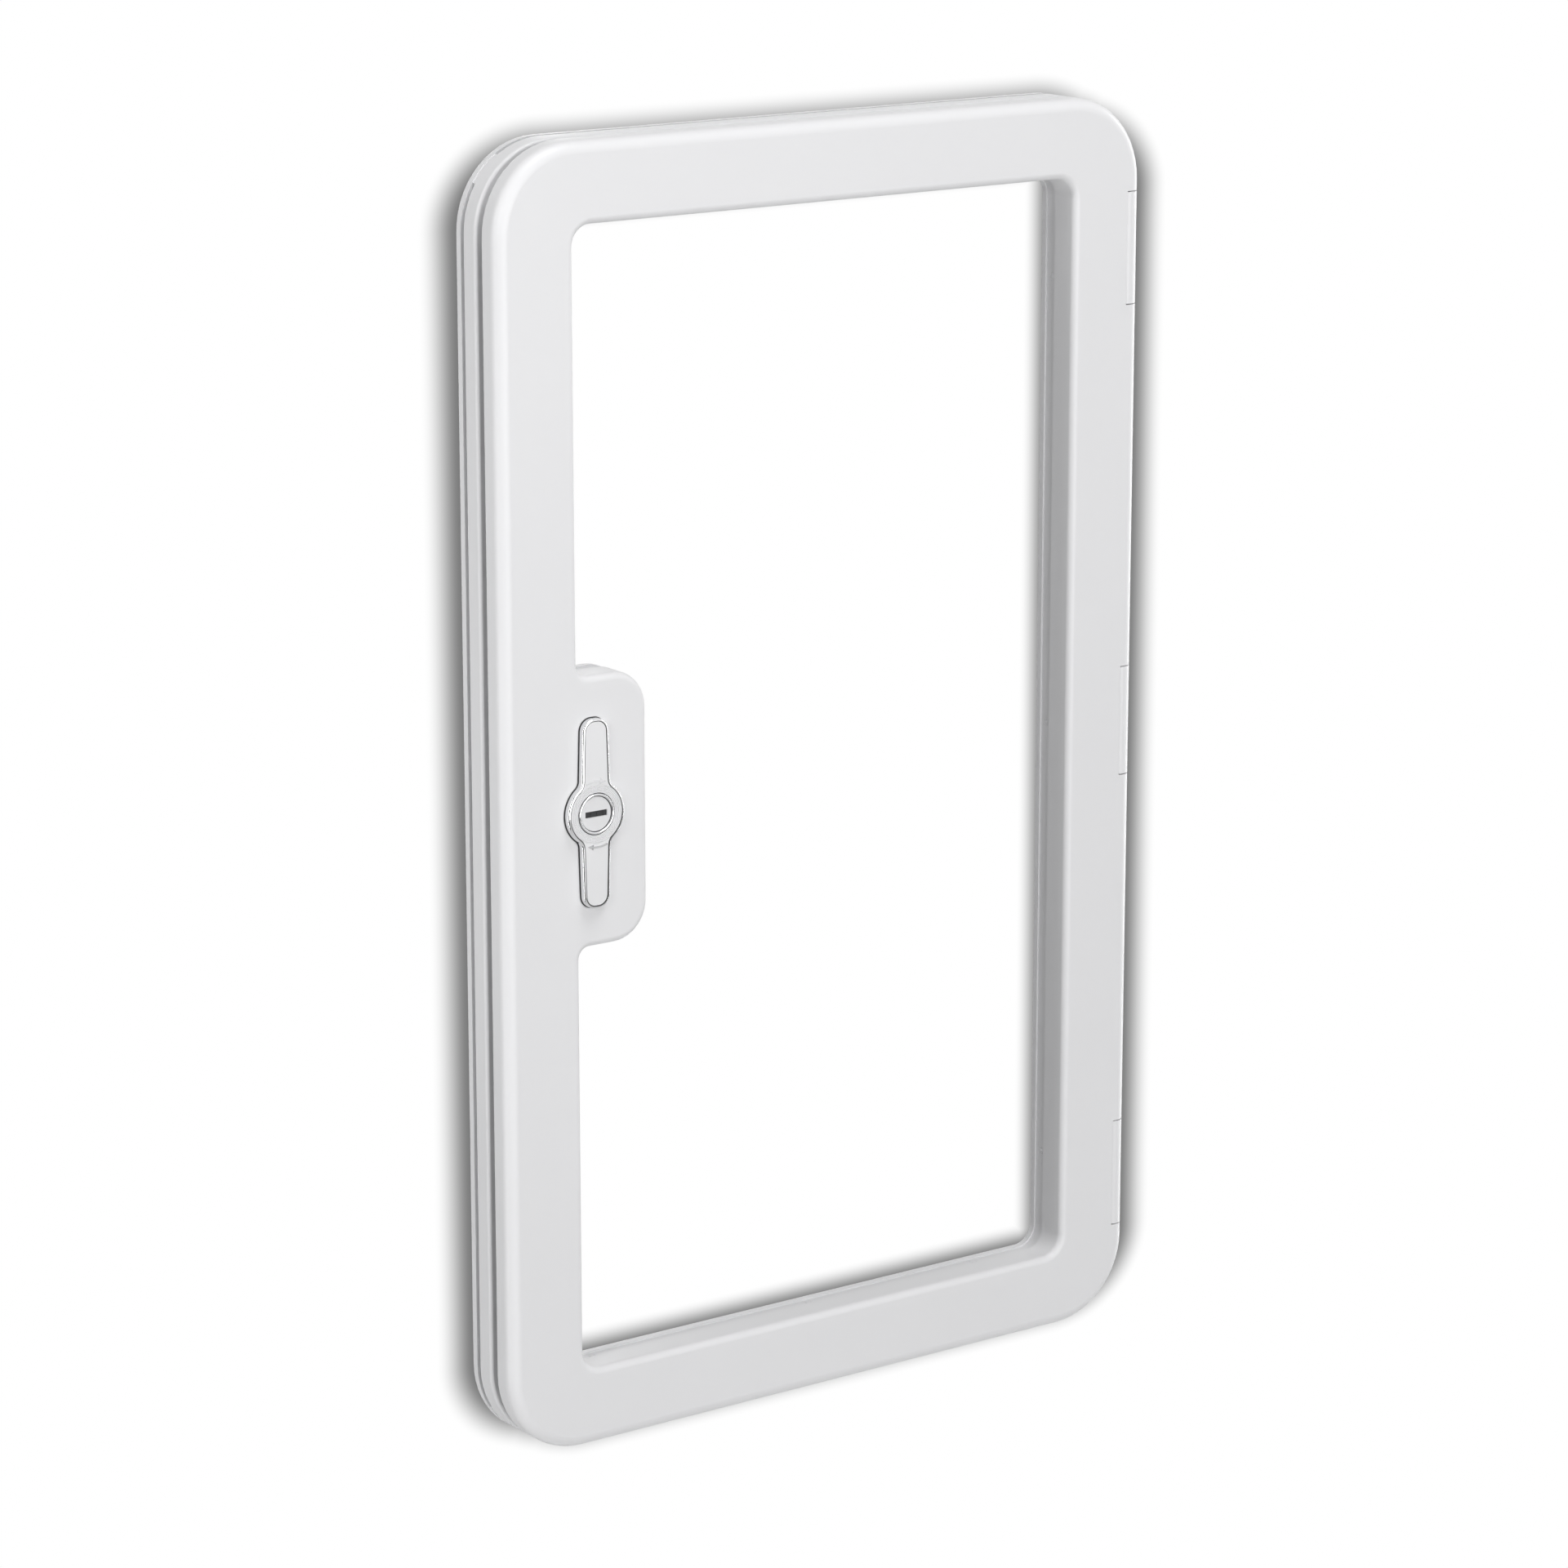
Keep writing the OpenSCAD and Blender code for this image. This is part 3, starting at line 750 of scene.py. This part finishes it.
@dataclass
class TwistHandle:
    """The twist handle: chromed rim, satin plate with round grooves, collar, key barrel and arrows."""

    fitter: Fitter
    axis: Point = (-166.5, CENTRE_Z)
    length: float = 109.0
    tip_w: float = 16.6
    root_w: float = 18.8
    tip_r: float = 7.5
    hub_r: float = 18.8
    fillet_r: float = 6.0
    base: float = 40.5
    top: float = 44.5
    rim_w: float = 1.25
    plate_gap: float = 0.5
    ring_gap: float = 0.45
    shade_gasket_w: float = 0.4
    plate_t: float = 0.8
    ring_in: float = 10.35
    ring_out: float = 11.75
    ring_top: float = 44.9
    grooves: int = 5
    groove_pitch: float = 0.93
    groove_start: float = 0.35
    groove_steps: tuple[float, float, float] = (0.18, 0.36, 0.55)
    groove_depth: float = 0.42
    barrel_r: float = 9.95
    barrel_base: float = 41.6
    barrel_top: float = 44.0
    barrel_round: float = 0.3
    bore_floor: float = 41.3
    slot_half: Point = (7.3, 1.75)
    slot_floor: float = 42.0
    wafers: int = 7
    wafer_depth: float = 0.9
    wafer_drop: float = 0.3
    rim_round: float = 1.0
    plate_round: float = 0.2
    plate_sunk: float = 0.02
    disc_round: float = 0.15
    # Sizes of the near-black pieces that are painted shade in the handle's gaps: the bed's thickness, the
    # ring's height and rounding, and how far the sleeve sits below the barrel.
    shade_bed_t: float = 0.25
    shade_gasket_t: float = 0.35
    shade_gasket_round: float = 0.1
    shade_sleeve_sunk: float = 0.5
    slack: float = 0.02
    past: float = 1.0

    def centre(self, height: float) -> Vector:
        """Gives the axis point at a height above the wall."""
        return Vector((self.axis[0] * MM, -height * MM, self.axis[1] * MM))

    def lathe(self, name: str) -> Bench:
        """Sets up a lathe about the handle's axis, with heights from the wall."""
        return Bench.lathe(name, self.centre(0), FRONT)

    def outline(self, name: str, height: float, w: float) -> Bench:
        """Draws the handle's outline as a quarter of arcs and lines, mirrored twice.

        Args:
            name: The new piece's name.
            height: How high above the wall it is drawn.
            w: How far inwards the outline is moved.

        Returns:
            The bench, with the outline filled.
        """
        bench = Bench.facing(name, self.centre(height), 4.0)
        tilt = math.atan((self.root_w - self.tip_w) / 2 / (self.length / 2 - self.hub_r))
        side = (self.root_w / 2 + self.hub_r * math.tan(tilt)) * math.cos(tilt)
        reach = self.hub_r + self.fillet_r
        begin = math.sqrt(reach ** 2 - (side + self.fillet_r) ** 2)
        end = (self.length / 2 - self.tip_r - (side - self.tip_r) * math.sin(tilt)) / math.cos(tilt)

        def beside(out: float, along: float) -> Point:
            return ((side + out) * math.cos(tilt) - along * math.sin(tilt),
                    (side + out) * math.sin(tilt) + along * math.cos(tilt))

        fillet = beside(self.fillet_r, begin)
        tip = beside(-self.tip_r, end)
        turn = math.degrees(math.atan2(fillet[1], fillet[0]))
        lean = math.degrees(tilt)
        bench.start((self.hub_r - w, 0.0))
        bench.arc((0.0, 0.0), turn)
        bench.arc(fillet, -(turn - lean))
        bench.line(beside(-w, end))
        bench.arc(tip, 90 - lean)
        bench.line((0.0, self.length / 2 - w))
        return bench.mirror(bench.across).mirror(bench.up).fill()

    def plug(self, radius: float, low: float) -> bpy.types.Object:
        """Lathes a round cutter about the axis, from a height to past the front."""
        high = self.top + self.past
        bench = self.lathe("cutter")
        bench.start((0.0, low)).line((radius, low), (radius, high), (0.0, high))
        return bench.revolve(96).close()

    def make_rim(self) -> None:
        """Models the chromed body with its rounded front edge, the plate's recess and the key's bore."""
        height = self.top - self.base

        def at_front(across: float, up: float, lift: float) -> bool:
            return abs(lift - height) < SAME_HEIGHT

        bench = self.outline("handle_rim", self.base, 0.0).extrude(height)
        bench.pick("EDGE", at_front).bevel(self.rim_round, 5)
        bench.pick("FACE", at_front)
        bench.inset(self.rim_w - self.rim_round).extrude(-self.plate_t)
        bench.cut(self.plug(self.ring_in, self.bore_floor))
        self.fitter.fit(bench.finish(), Slot.CHROME, Body.HANDLE, "handle_body")

    def make_plate(self) -> None:
        """Models the satin plate: two wings round a lathed hub disc with its grooves."""
        floor = self.top - self.plate_t
        thick = self.plate_t - self.plate_sunk
        edge = self.rim_w + self.plate_gap
        hub = self.hub_r - edge
        wings = self.outline("handle_plate", floor, edge).extrude(thick)
        wings.pick("EDGE", lambda across, up, lift: lift > thick - SAME_HEIGHT)
        wings.bevel(self.plate_round, 3)
        wings.cut(self.plug(hub + 0.03, floor - self.past))
        plate = wings.finish()
        high = self.top - self.plate_sunk
        inner = self.ring_out + self.ring_gap
        disc = self.lathe("hub_disc").start((inner, floor))
        disc.line((inner, high - self.disc_round), (inner + self.disc_round, high))
        for number in range(self.grooves):
            left = inner + self.groove_start + number * self.groove_pitch
            near, far, end = (left + step for step in self.groove_steps)
            low = high - self.groove_depth
            disc.line((left, high), (near, low), (far, low), (end, high))
        disc.line((hub, high - self.slack), (hub, floor), (inner, floor))
        disc.revolve(144)
        disc.finish(20.0)
        select_only(plate)
        disc.piece.select_set(True)
        bpy.ops.object.join()
        self.fitter.fit(plate, Slot.FACE, Body.HANDLE, "handle_face")

    def make_painted_shade_seams(self) -> None:
        """Models near-black pieces as painted shade: a bed in the gap round the plate, a sleeve in the gap
        round the key and a ring under the whole handle for its contact shadow.
        """
        bed = self.outline("plate_bed", self.top - self.plate_t, self.rim_w + self.slack / 2)
        bed.extrude(self.shade_bed_t).cut(self.plug(self.ring_out, self.bore_floor))
        self.fitter.fit(bed.finish(), Slot.LOCK, Body.HANDLE)
        near, far = self.barrel_r + 0.03, self.ring_in - self.slack
        low, high = self.barrel_base, self.barrel_top - self.shade_sleeve_sunk
        sleeve = self.lathe("key_sleeve").start((near, low))
        sleeve.line((far, low), (far, high), (near, high), (near, low)).revolve(96)
        self.fitter.fit(sleeve.finish(), Slot.LOCK, Body.HANDLE)
        # A near-black ring under the handle, standing in for its contact shadow.
        gasket = self.outline("handle_gasket", self.base - self.shade_gasket_t, -self.shade_gasket_w)
        gasket.extrude(self.shade_gasket_t)
        gasket.pick("EDGE", lambda across, up, lift: lift > self.shade_gasket_t - SAME_HEIGHT)
        gasket.bevel(self.shade_gasket_round, 2)
        self.fitter.fit(gasket.finish(), Slot.LOCK, Body.HANDLE)

    def make_collar(self) -> None:
        """Lathes the raised ring round the key, with a rounded front."""
        floor = self.top - self.plate_t
        radius = (self.ring_out - self.ring_in) / 2
        middle = (self.ring_in + radius, self.ring_top - radius)
        bench = self.lathe("key_collar")
        bench.start((self.ring_out, floor)).line((self.ring_out, middle[1])).arc(middle, 180)
        bench.line((self.ring_in, floor), (self.ring_out, floor))
        bench.revolve(120)
        self.fitter.fit(bench.finish(), Slot.CHROME, Body.HANDLE, "key_ring")

    def make_barrel(self) -> None:
        """Lathes the key barrel with its rounded edge, and cuts its slot."""
        low, high = self.barrel_base, self.barrel_top
        middle = (self.barrel_r - self.barrel_round, high - self.barrel_round)
        bench = self.lathe("key_barrel").start((0.0, low))
        bench.line((self.barrel_r, low), (self.barrel_r, middle[1])).arc(middle, 90)
        bench.line((0.0, high)).revolve(96)
        slot = Bench.facing("cutter", self.centre(self.slot_floor))
        slot.block(self.slot_half, high + self.past - self.slot_floor)
        bench.cut(slot.close())
        self.fitter.fit(bench.finish(10.0), Slot.KEY, Body.KEY, "key_cylinder")

    def make_wafers(self) -> None:
        """Models the key slot's wafers, every other one pushed back, in near-black as painted shade for the
        deep slot.
        """
        a, b = (half - self.slack for half in self.slot_half)
        edges = [-a + 2 * a * i / self.wafers for i in range(self.wafers + 1)]
        height = self.barrel_top - self.wafer_depth - self.slot_floor
        bench = Bench.facing("key_wafers", self.centre(self.slot_floor)).start((-a, -b))
        bench.line(*[(edge, -b) for edge in edges[1:]])
        bpy.ops.mesh.select_all(action="SELECT")
        bpy.ops.mesh.extrude_region_move(TRANSFORM_OT_translate={"value": bench.up * 2 * b * MM})
        bpy.ops.mesh.select_all(action="SELECT")
        bench.extrude(height)
        for left, right in zip(edges[1:-1:2], edges[2:-1:2]):
            low, high = left - SAME_HEIGHT, right + SAME_HEIGHT
            bench.pick("FACE", lambda across, up, lift: low < across < high and lift > height - SAME_HEIGHT)
            bench.extrude(-self.wafer_drop)
        # Near-black plastic here is painted shade deep in the key slot.
        self.fitter.fit(bench.finish(), Slot.LOCK, Body.KEY)

    def make_arrows(self) -> None:
        """Models the two fine raised arrows beside the grooves."""
        plane = self.top - self.plate_sunk
        tail, neck, barb_at, head = 111.0, 82.0, 83.0, 71.0
        middle, body, barb = 19.1, 0.6, 1.7
        foot, height, edge, dip = 0.1, 0.36, 0.2, 0.2
        bench = Bench.facing("turn_arrow_upper", self.centre(plane - foot), 3.0)

        def polar(radius: float, degrees: float) -> Point:
            angle = math.radians(degrees)
            return (radius * math.cos(angle), radius * math.sin(angle))

        bench.start(polar(middle - body, tail))
        bench.arc((0.0, 0.0), neck - tail)
        bench.line(polar(middle - barb, barb_at), polar(middle, head), polar(middle + barb, barb_at))
        bench.line(polar(middle + body, neck))
        bench.arc((0.0, 0.0), tail - neck)
        bench.line(polar(middle - body, tail)).weld().fill()
        bench.extrude(height).inset(edge).extrude(-dip)
        upper = bench.finish()
        bpy.ops.object.duplicate(linked=False)
        lower = bpy.context.object
        lower.name = "turn_arrow_lower"
        bpy.ops.object.mode_set(mode="EDIT")
        bpy.ops.mesh.select_all(action="SELECT")
        bpy.ops.transform.resize(value=(-1, 1, -1), center_override=self.centre(plane))
        bpy.ops.mesh.normals_make_consistent(inside=False)
        bpy.ops.object.mode_set(mode="OBJECT")
        for arrow in (upper, lower):
            self.fitter.fit(arrow, Slot.CHROME, Body.HANDLE)

    def build(self) -> None:
        """Models every piece of the handle."""
        self.make_rim()
        self.make_plate()
        self.make_painted_shade_seams()
        self.make_collar()
        self.make_barrel()
        self.make_wafers()
        self.make_arrows()


@dataclass
class FrameScrews:
    """The cross-recess screws that hold the fixed frame to the wall, under the closed door."""

    fitter: Fitter
    front: float = 18.7
    seat: float = 0.02
    tip: float = 1.0
    taper: float = 2.5
    shank_r: float = 2.0
    head_r: float = 4.0
    flank_r: float = 4.1
    flank_h: float = 0.5
    dome_at: float = 2.3
    dome_h: float = 2.3
    cross_half: Point = (2.2, 0.4)
    cross_floor: float = 0.9
    cross_spread: float = 1.35
    side_x: float = 193.0
    side_zs: tuple[float, ...] = (-320.0, -120.0, 120.0, 320.0)
    end_x: float = 90.0
    end_z: float = 343.0

    def build(self) -> None:
        """Lathes one screw, cuts its cross, and copies it to every hole."""
        places = [(x, z) for x in (-self.side_x, self.side_x) for z in self.side_zs]
        places += [(x, z) for x in (-self.end_x, self.end_x) for z in (-self.end_z, self.end_z)]
        x, z = places[0]
        origin = Vector((x * MM, 0, (CENTRE_Z + z) * MM))
        under, flank = self.front + self.seat, self.front + self.flank_h
        bench = Bench.lathe("frame_screw", origin, FRONT).start((0.0, self.tip))
        bench.line((self.shank_r, self.taper), (self.shank_r, under), (self.head_r, under))
        bench.line((self.flank_r, flank)).arc((self.dome_at, flank), 60)
        bench.line((0.0, self.front + self.dome_h)).revolve(36)
        bench.cut(*[self.cross_arm(origin, level) for level in (True, False)])
        for piece in spread_copies(bench.finish(40.0), places):
            self.fitter.fit(piece, Slot.ZINC, Body.FIXED)

    def cross_arm(self, origin: Vector, level: bool) -> bpy.types.Object:
        """Draws one tapered arm of the cross recess.

        Args:
            origin: The screw's axis on the wall.
            level: Whether the arm lies level.

        Returns:
            The cutter.
        """
        half = self.cross_half if level else self.cross_half[::-1]
        bench = Bench.facing("cutter", origin + FRONT * (self.front + self.cross_floor) * MM)
        bench.block(half, 3.0)
        spread = (self.cross_spread, 1.0, self.cross_spread)
        bpy.ops.transform.resize(value=spread, center_override=origin)
        return bench.close()


@dataclass
class BandCaps:
    """Round caps with a domed face over the screws that clamp the door's rear frame."""

    fitter: Fitter
    side: float = 176.5
    end: float = 330.5
    height: float = 17.05
    radius: float = 2.3
    end_xs: tuple[float, ...] = (-155.0, 0.0, 125.0)
    side_zs: tuple[float, ...] = (-269.0, 0.0, 269.0)
    foot: float = 1.3
    rim: tuple[Point, ...] = ((0.0, 0.0), (0.15, 0.12), (0.5, 0.05), (0.65, -0.15), (0.85, 0.08))
    dome: tuple[Point, ...] = ((0.4, 0.2), (0.0, 0.22))

    def lathe_cap(self, name: str, place: Vector, outward: Vector) -> bpy.types.Object:
        """Lathes a cap whose face looks out of the band.

        Args:
            name: The cap's name.
            place: The middle of its outer face.
            outward: The way that its face looks.

        Returns:
            The cap.
        """
        bench = Bench.lathe(name, place, outward)
        bench.start((0.0, -self.foot)).line((self.radius, -self.foot))
        bench.line(*[(self.radius - inwards, high) for inwards, high in self.rim])
        bench.line(*[(self.radius * share, high) for share, high in self.dome])
        return bench.revolve(40).finish(40.0)

    def build(self) -> None:
        """Lathes one cap for the top, the bottom and the right side of the opening, and copies it along that
        side.
        """
        pieces = []
        rows = (
            ("cap_top", (0, 0, -1), [(x, self.end) for x in self.end_xs]),
            ("cap_bottom", (0, 0, 1), [(x, -self.end) for x in self.end_xs]),
            ("cap_right", (-1, 0, 0), [(self.side, z) for z in self.side_zs]),
        )
        for name, outward, places in rows:
            x, z = places[0]
            place = Vector((x * MM, -self.height * MM, (CENTRE_Z + z) * MM))
            pieces += spread_copies(self.lathe_cap(name, place, Vector(outward)), places)
        self.fitter.fit(pieces[0], Slot.DOOR, Body.DOOR, "screw_caps")
        for piece in pieces[1:]:
            self.fitter.fit(piece, Slot.DOOR, Body.DOOR)


@dataclass
class PhotoCamera:
    """The camera at the photograph's viewing angle."""

    place: Place = (-1.7173, -2.3587, 1.0725)
    yaw: float = math.radians(35.974)
    pitch: float = math.radians(13.906)
    focal_px: float = 6307.7
    sensor: float = 36.0

    def build(self) -> None:
        """Makes the camera and sets it as the scene's."""
        data = bpy.data.cameras.new("photo_camera")
        data.sensor_width = self.sensor
        data.lens = self.focal_px * self.sensor / IMAGE_SIDE
        data.clip_start = 0.05
        data.clip_end = 60.0
        camera = bpy.data.objects.new("photo_camera", data)
        bpy.context.scene.collection.objects.link(camera)
        flat = math.cos(self.pitch)
        look = Vector((math.sin(self.yaw) * flat, math.cos(self.yaw) * flat, -math.sin(self.pitch)))
        camera.location = self.place
        camera.rotation_euler = look.to_track_quat("-Z", "Y").to_euler()
        bpy.context.scene.camera = camera


@dataclass(frozen=True)
class SoftBox:
    """An area lamp aimed at a point."""

    name: str
    place: Place
    size: Point
    watts: float
    target: Place = (0.0, 0.0, 0.366)

    def build(self) -> None:
        """Makes the lamp."""
        data = bpy.data.lights.new(self.name, "AREA")
        data.shape = "RECTANGLE"
        data.size, data.size_y = self.size
        data.energy = self.watts
        lamp = bpy.data.objects.new(self.name, data)
        bpy.context.scene.collection.objects.link(lamp)
        lamp.location = self.place
        look = Vector(self.target) - Vector(self.place)
        lamp.rotation_euler = look.to_track_quat("-Z", "Y").to_euler()


@dataclass
class Studio:
    """A pale floor and a white wall behind the hatch, both with a painted shadow, and soft light."""

    lamps: tuple[SoftBox, ...] = (
        SoftBox("front_softbox", (0.0, -3.2, 0.6), (2.2, 2.2), 50.0),
        SoftBox("left_softbox", (-1.5, -0.9, 1.0), (0.5, 0.5), 6.0),
        SoftBox("left_strip", (-1.0, -0.035, 0.366), (0.06, 1.4), 3.6, (0.0, -0.035, 0.366)),
        SoftBox("right_strip", (1.0, -0.035, 0.366), (0.06, 1.4), 5.0, (0.0, -0.035, 0.366)),
        SoftBox("top_softbox", (0.0, -0.9, 2.6), (1.2, 1.2), 31.0),
        SoftBox("back_softbox", (0.6, 3.0, 0.3), (2.2, 2.2), 45.0),
    )
    wall_y: float = 0.0006
    wall_half: float = 4.0
    floor_z: float = -0.9
    # The floor's painted shadow under the hatch: its reach and its darkness.
    floor_painted_shadow_reach: float = 1.6
    floor_painted_shadow_dark: float = 0.8
    ambient: float = 0.04
    # The wall's painted shadow: its reach, darkness and upward stretch, its faint fade inside the opening,
    # its offset, and the outlines that it follows.
    painted_shadow_reach: float = 0.026
    painted_shadow_dark: float = 0.2
    painted_shadow_upright: float = 1.2
    painted_shadow_inner_start: float = -0.003
    painted_shadow_inner_reach: float = 0.017
    painted_shadow_offset: Point = (0.029, -0.012)
    outer_half: Point = (0.224, 0.374)
    outer_r: float = 0.05
    inner_half: Point = (0.186, 0.336)
    inner_r: float = 0.012
    card_place: Place = (-1.3, -1.45, 0.1)
    card_size: Point = (2.8, 2.7)
    card_glow: float = 0.01

    def build(self) -> None:
        """Sets up the colour management, the world, the lamps, the wall, the floor and the card."""
        bpy.context.scene.view_settings.view_transform = "Standard"
        self.make_world()
        for lamp in self.lamps:
            lamp.build()
        middle = (cad_box[0].z + cad_box[1].z) / 2
        self.make_plane("wall", self.wall_material(), Vector((0, self.wall_y, middle)), math.pi / 2)
        self.make_plane("floor", self.floor_material(), Vector((0, 0, self.floor_z)), 0.0)
        self.make_card()

    def make_world(self) -> None:
        """Lights the scene faintly from all round, and shows white to the camera and in reflections."""
        world = bpy.data.worlds.new("studio")
        bpy.context.scene.world = world
        world.use_nodes = True
        sheet = NodeSheet(world.node_tree)
        path = sheet.add("ShaderNodeLightPath")
        seen = sheet.maths("MAXIMUM", path.outputs["Is Camera Ray"], path.outputs["Is Glossy Ray"])
        seen = sheet.maths("MAXIMUM", seen, path.outputs["Is Transmission Ray"])
        level = sheet.add("ShaderNodeMapRange", Value=seen, To_Min=self.ambient, To_Max=1.0)
        background = sheet.add(
            "ShaderNodeBackground", Color=(1.0, 1.0, 1.0, 1.0), Strength=level.outputs["Result"],
        )
        sheet.add("ShaderNodeOutputWorld", Surface=background.outputs["Background"])

    def make_plane(self, name: str, material: bpy.types.Material, place: Vector, tilt: float) -> None:
        """Adds a large stage plane.

        Args:
            name: The plane's name.
            material: Its material.
            place: Its centre.
            tilt: Its turn about X.
        """
        bpy.ops.mesh.primitive_plane_add(size=2 * self.wall_half, location=place, rotation=(tilt, 0, 0))
        plane = bpy.context.object
        plane.name = name
        plane.data.materials.append(material)

    def wall_material(self) -> bpy.types.Material:
        """Builds a white wall with the hatch's soft shadow painted on, shown only from the front.

        Returns:
            The material.
        """
        material, sheet = new_sheet("white_wall_painted_shadow")
        place = sheet.add("ShaderNodeTexCoord").outputs["Object"]
        split = sheet.add("ShaderNodeSeparateXYZ", Vector=place)
        across, up = split.outputs["X"], split.outputs["Y"]
        # Painted shadow: dark at the hatch's outline, swept along its offset, fading to white outwards and
        # faintly inwards over the opening.
        outside = None
        for share in (0.0, 0.5, 1.0):
            centre = (self.painted_shadow_offset[0] * share, self.painted_shadow_offset[1] * share)
            reach = self.box_distance(sheet, across, up, centre, self.outer_half, self.outer_r)
            outside = reach if outside is None else sheet.maths("MINIMUM", outside, reach)
        panel = self.box_distance(sheet, across, up, (0.0, 0.0), self.inner_half, self.inner_r)
        inside = sheet.maths("MULTIPLY", panel, -1.0)
        outer = self.painted_shadow_fade(sheet, outside, 0.0, self.painted_shadow_reach)
        inner = self.painted_shadow_fade(sheet, inside, self.painted_shadow_inner_start, self.painted_shadow_inner_reach)
        shade = sheet.maths("MAXIMUM", outer, inner)
        glow = sheet.add("ShaderNodeEmission", Strength=shade)
        clear = sheet.add("ShaderNodeBsdfTransparent")
        path = sheet.add("ShaderNodeLightPath")
        side = sheet.add("ShaderNodeNewGeometry")
        front = sheet.maths("SUBTRACT", 1.0, side.outputs["Backfacing"])
        shown = sheet.maths("MULTIPLY", front, path.outputs["Is Camera Ray"])
        mix_surface(sheet, shown, clear.outputs["BSDF"], glow.outputs["Emission"])
        return material

    def box_distance(
        self,
        sheet: NodeSheet,
        across: bpy.types.NodeSocket,
        up: bpy.types.NodeSocket,
        centre: Point,
        half: Point,
        radius: float,
    ) -> bpy.types.NodeSocket:
        """Adds the distance from a point of the wall to a rectangle with round corners.

        Args:
            sheet: The wall's sheet.
            across: The point's place to the right of the wall's centre.
            up: Its place above the wall's centre.
            centre: The rectangle's centre, in metres.
            half: Its half width and half height.
            radius: Its corners' radius.

        Returns:
            The distance, less than zero inside.
        """
        gaps = []
        sides = ((across, centre[0], half[0], 1.0), (up, centre[1], half[1], self.painted_shadow_upright))
        for place, middle, size, stretch in sides:
            shifted = sheet.maths("ABSOLUTE", sheet.maths("SUBTRACT", place, middle), 0.0)
            gaps.append(sheet.maths("MULTIPLY", sheet.maths("SUBTRACT", shifted, size - radius), stretch))
        squares = [sheet.maths("POWER", sheet.maths("MAXIMUM", gap, 0.0), 2.0) for gap in gaps]
        corner = sheet.maths("SQRT", sheet.maths("ADD", *squares), 0.0)
        within = sheet.maths("MINIMUM", sheet.maths("MAXIMUM", *gaps), 0.0)
        return sheet.maths("SUBTRACT", sheet.maths("ADD", corner, within), radius)

    def painted_shadow_fade(
        self, sheet: NodeSheet, distance: bpy.types.NodeSocket, near: float, far: float,
    ) -> bpy.types.NodeSocket:
        """Adds the painted shadow's brightness at a distance, smoothly from dark to white.

        Args:
            sheet: The wall's sheet.
            distance: The distance.
            near: Where the shadow is full.
            far: Where it ends.

        Returns:
            The light, up to 1.
        """
        ramp = sheet.add(
            "ShaderNodeMapRange", interpolation_type="SMOOTHSTEP", Value=distance,
            From_Min=near, From_Max=far, To_Min=self.painted_shadow_dark, To_Max=1.0,
        )
        return ramp.outputs["Result"]

    def make_card(self) -> None:
        """Stands a dark card at the left, seen only in reflections, for the chrome's dark lines."""
        material, sheet = new_sheet("dark_card")
        dark = sheet.add("ShaderNodeEmission", Strength=self.card_glow)
        clear = sheet.add("ShaderNodeBsdfTransparent")
        path = sheet.add("ShaderNodeLightPath")
        mix_surface(sheet, path.outputs["Is Glossy Ray"], clear.outputs["BSDF"], dark.outputs["Emission"])
        bpy.ops.mesh.primitive_plane_add(size=1.0, location=self.card_place, rotation=(0, math.pi / 2, 0))
        card = bpy.context.object
        card.scale = (*self.card_size, 1.0)
        card.name = "dark_card"
        card.data.materials.append(material)

    def floor_material(self) -> bpy.types.Material:
        """Builds the plain pale floor, with a painted shadow that darkens it under the hatch for the camera.

        Returns:
            The material.
        """
        material, sheet = new_sheet("pale_floor_painted_shadow")
        shader = sheet.add("ShaderNodeBsdfPrincipled")
        shader.inputs["Base Color"].default_value = (0.9, 0.9, 0.9, 1.0)
        shader.inputs["Roughness"].default_value = 0.9
        # Painted shadow: darker towards the floor's centre under the hatch, for the camera only.
        reach = sheet.add("ShaderNodeVectorMath", operation="LENGTH")
        sheet.link(sheet.add("ShaderNodeTexCoord").outputs["Object"], reach.inputs[0])
        ramp = sheet.add(
            "ShaderNodeMapRange", interpolation_type="SMOOTHSTEP", Value=reach.outputs["Value"],
            From_Max=self.floor_painted_shadow_reach, To_Min=self.floor_painted_shadow_dark, To_Max=1.0,
        )
        glow = sheet.add("ShaderNodeEmission", Strength=ramp.outputs["Result"])
        path = sheet.add("ShaderNodeLightPath")
        mix_surface(sheet, path.outputs["Is Camera Ray"], shader.outputs["BSDF"], glow.outputs["Emission"])
        return material


def main() -> None:
    """Builds the studio and every piece in order."""
    finishes = FinishBook.build()
    finishes.dress_nodes()
    fitter = Fitter(finishes)
    TwistHandle(fitter).build()
    FrameScrews(fitter).build()
    BandCaps(fitter).build()
    Studio().build()
    PhotoCamera().build()
    log.info("sizes written")


if __name__ == "__main__":
    main()
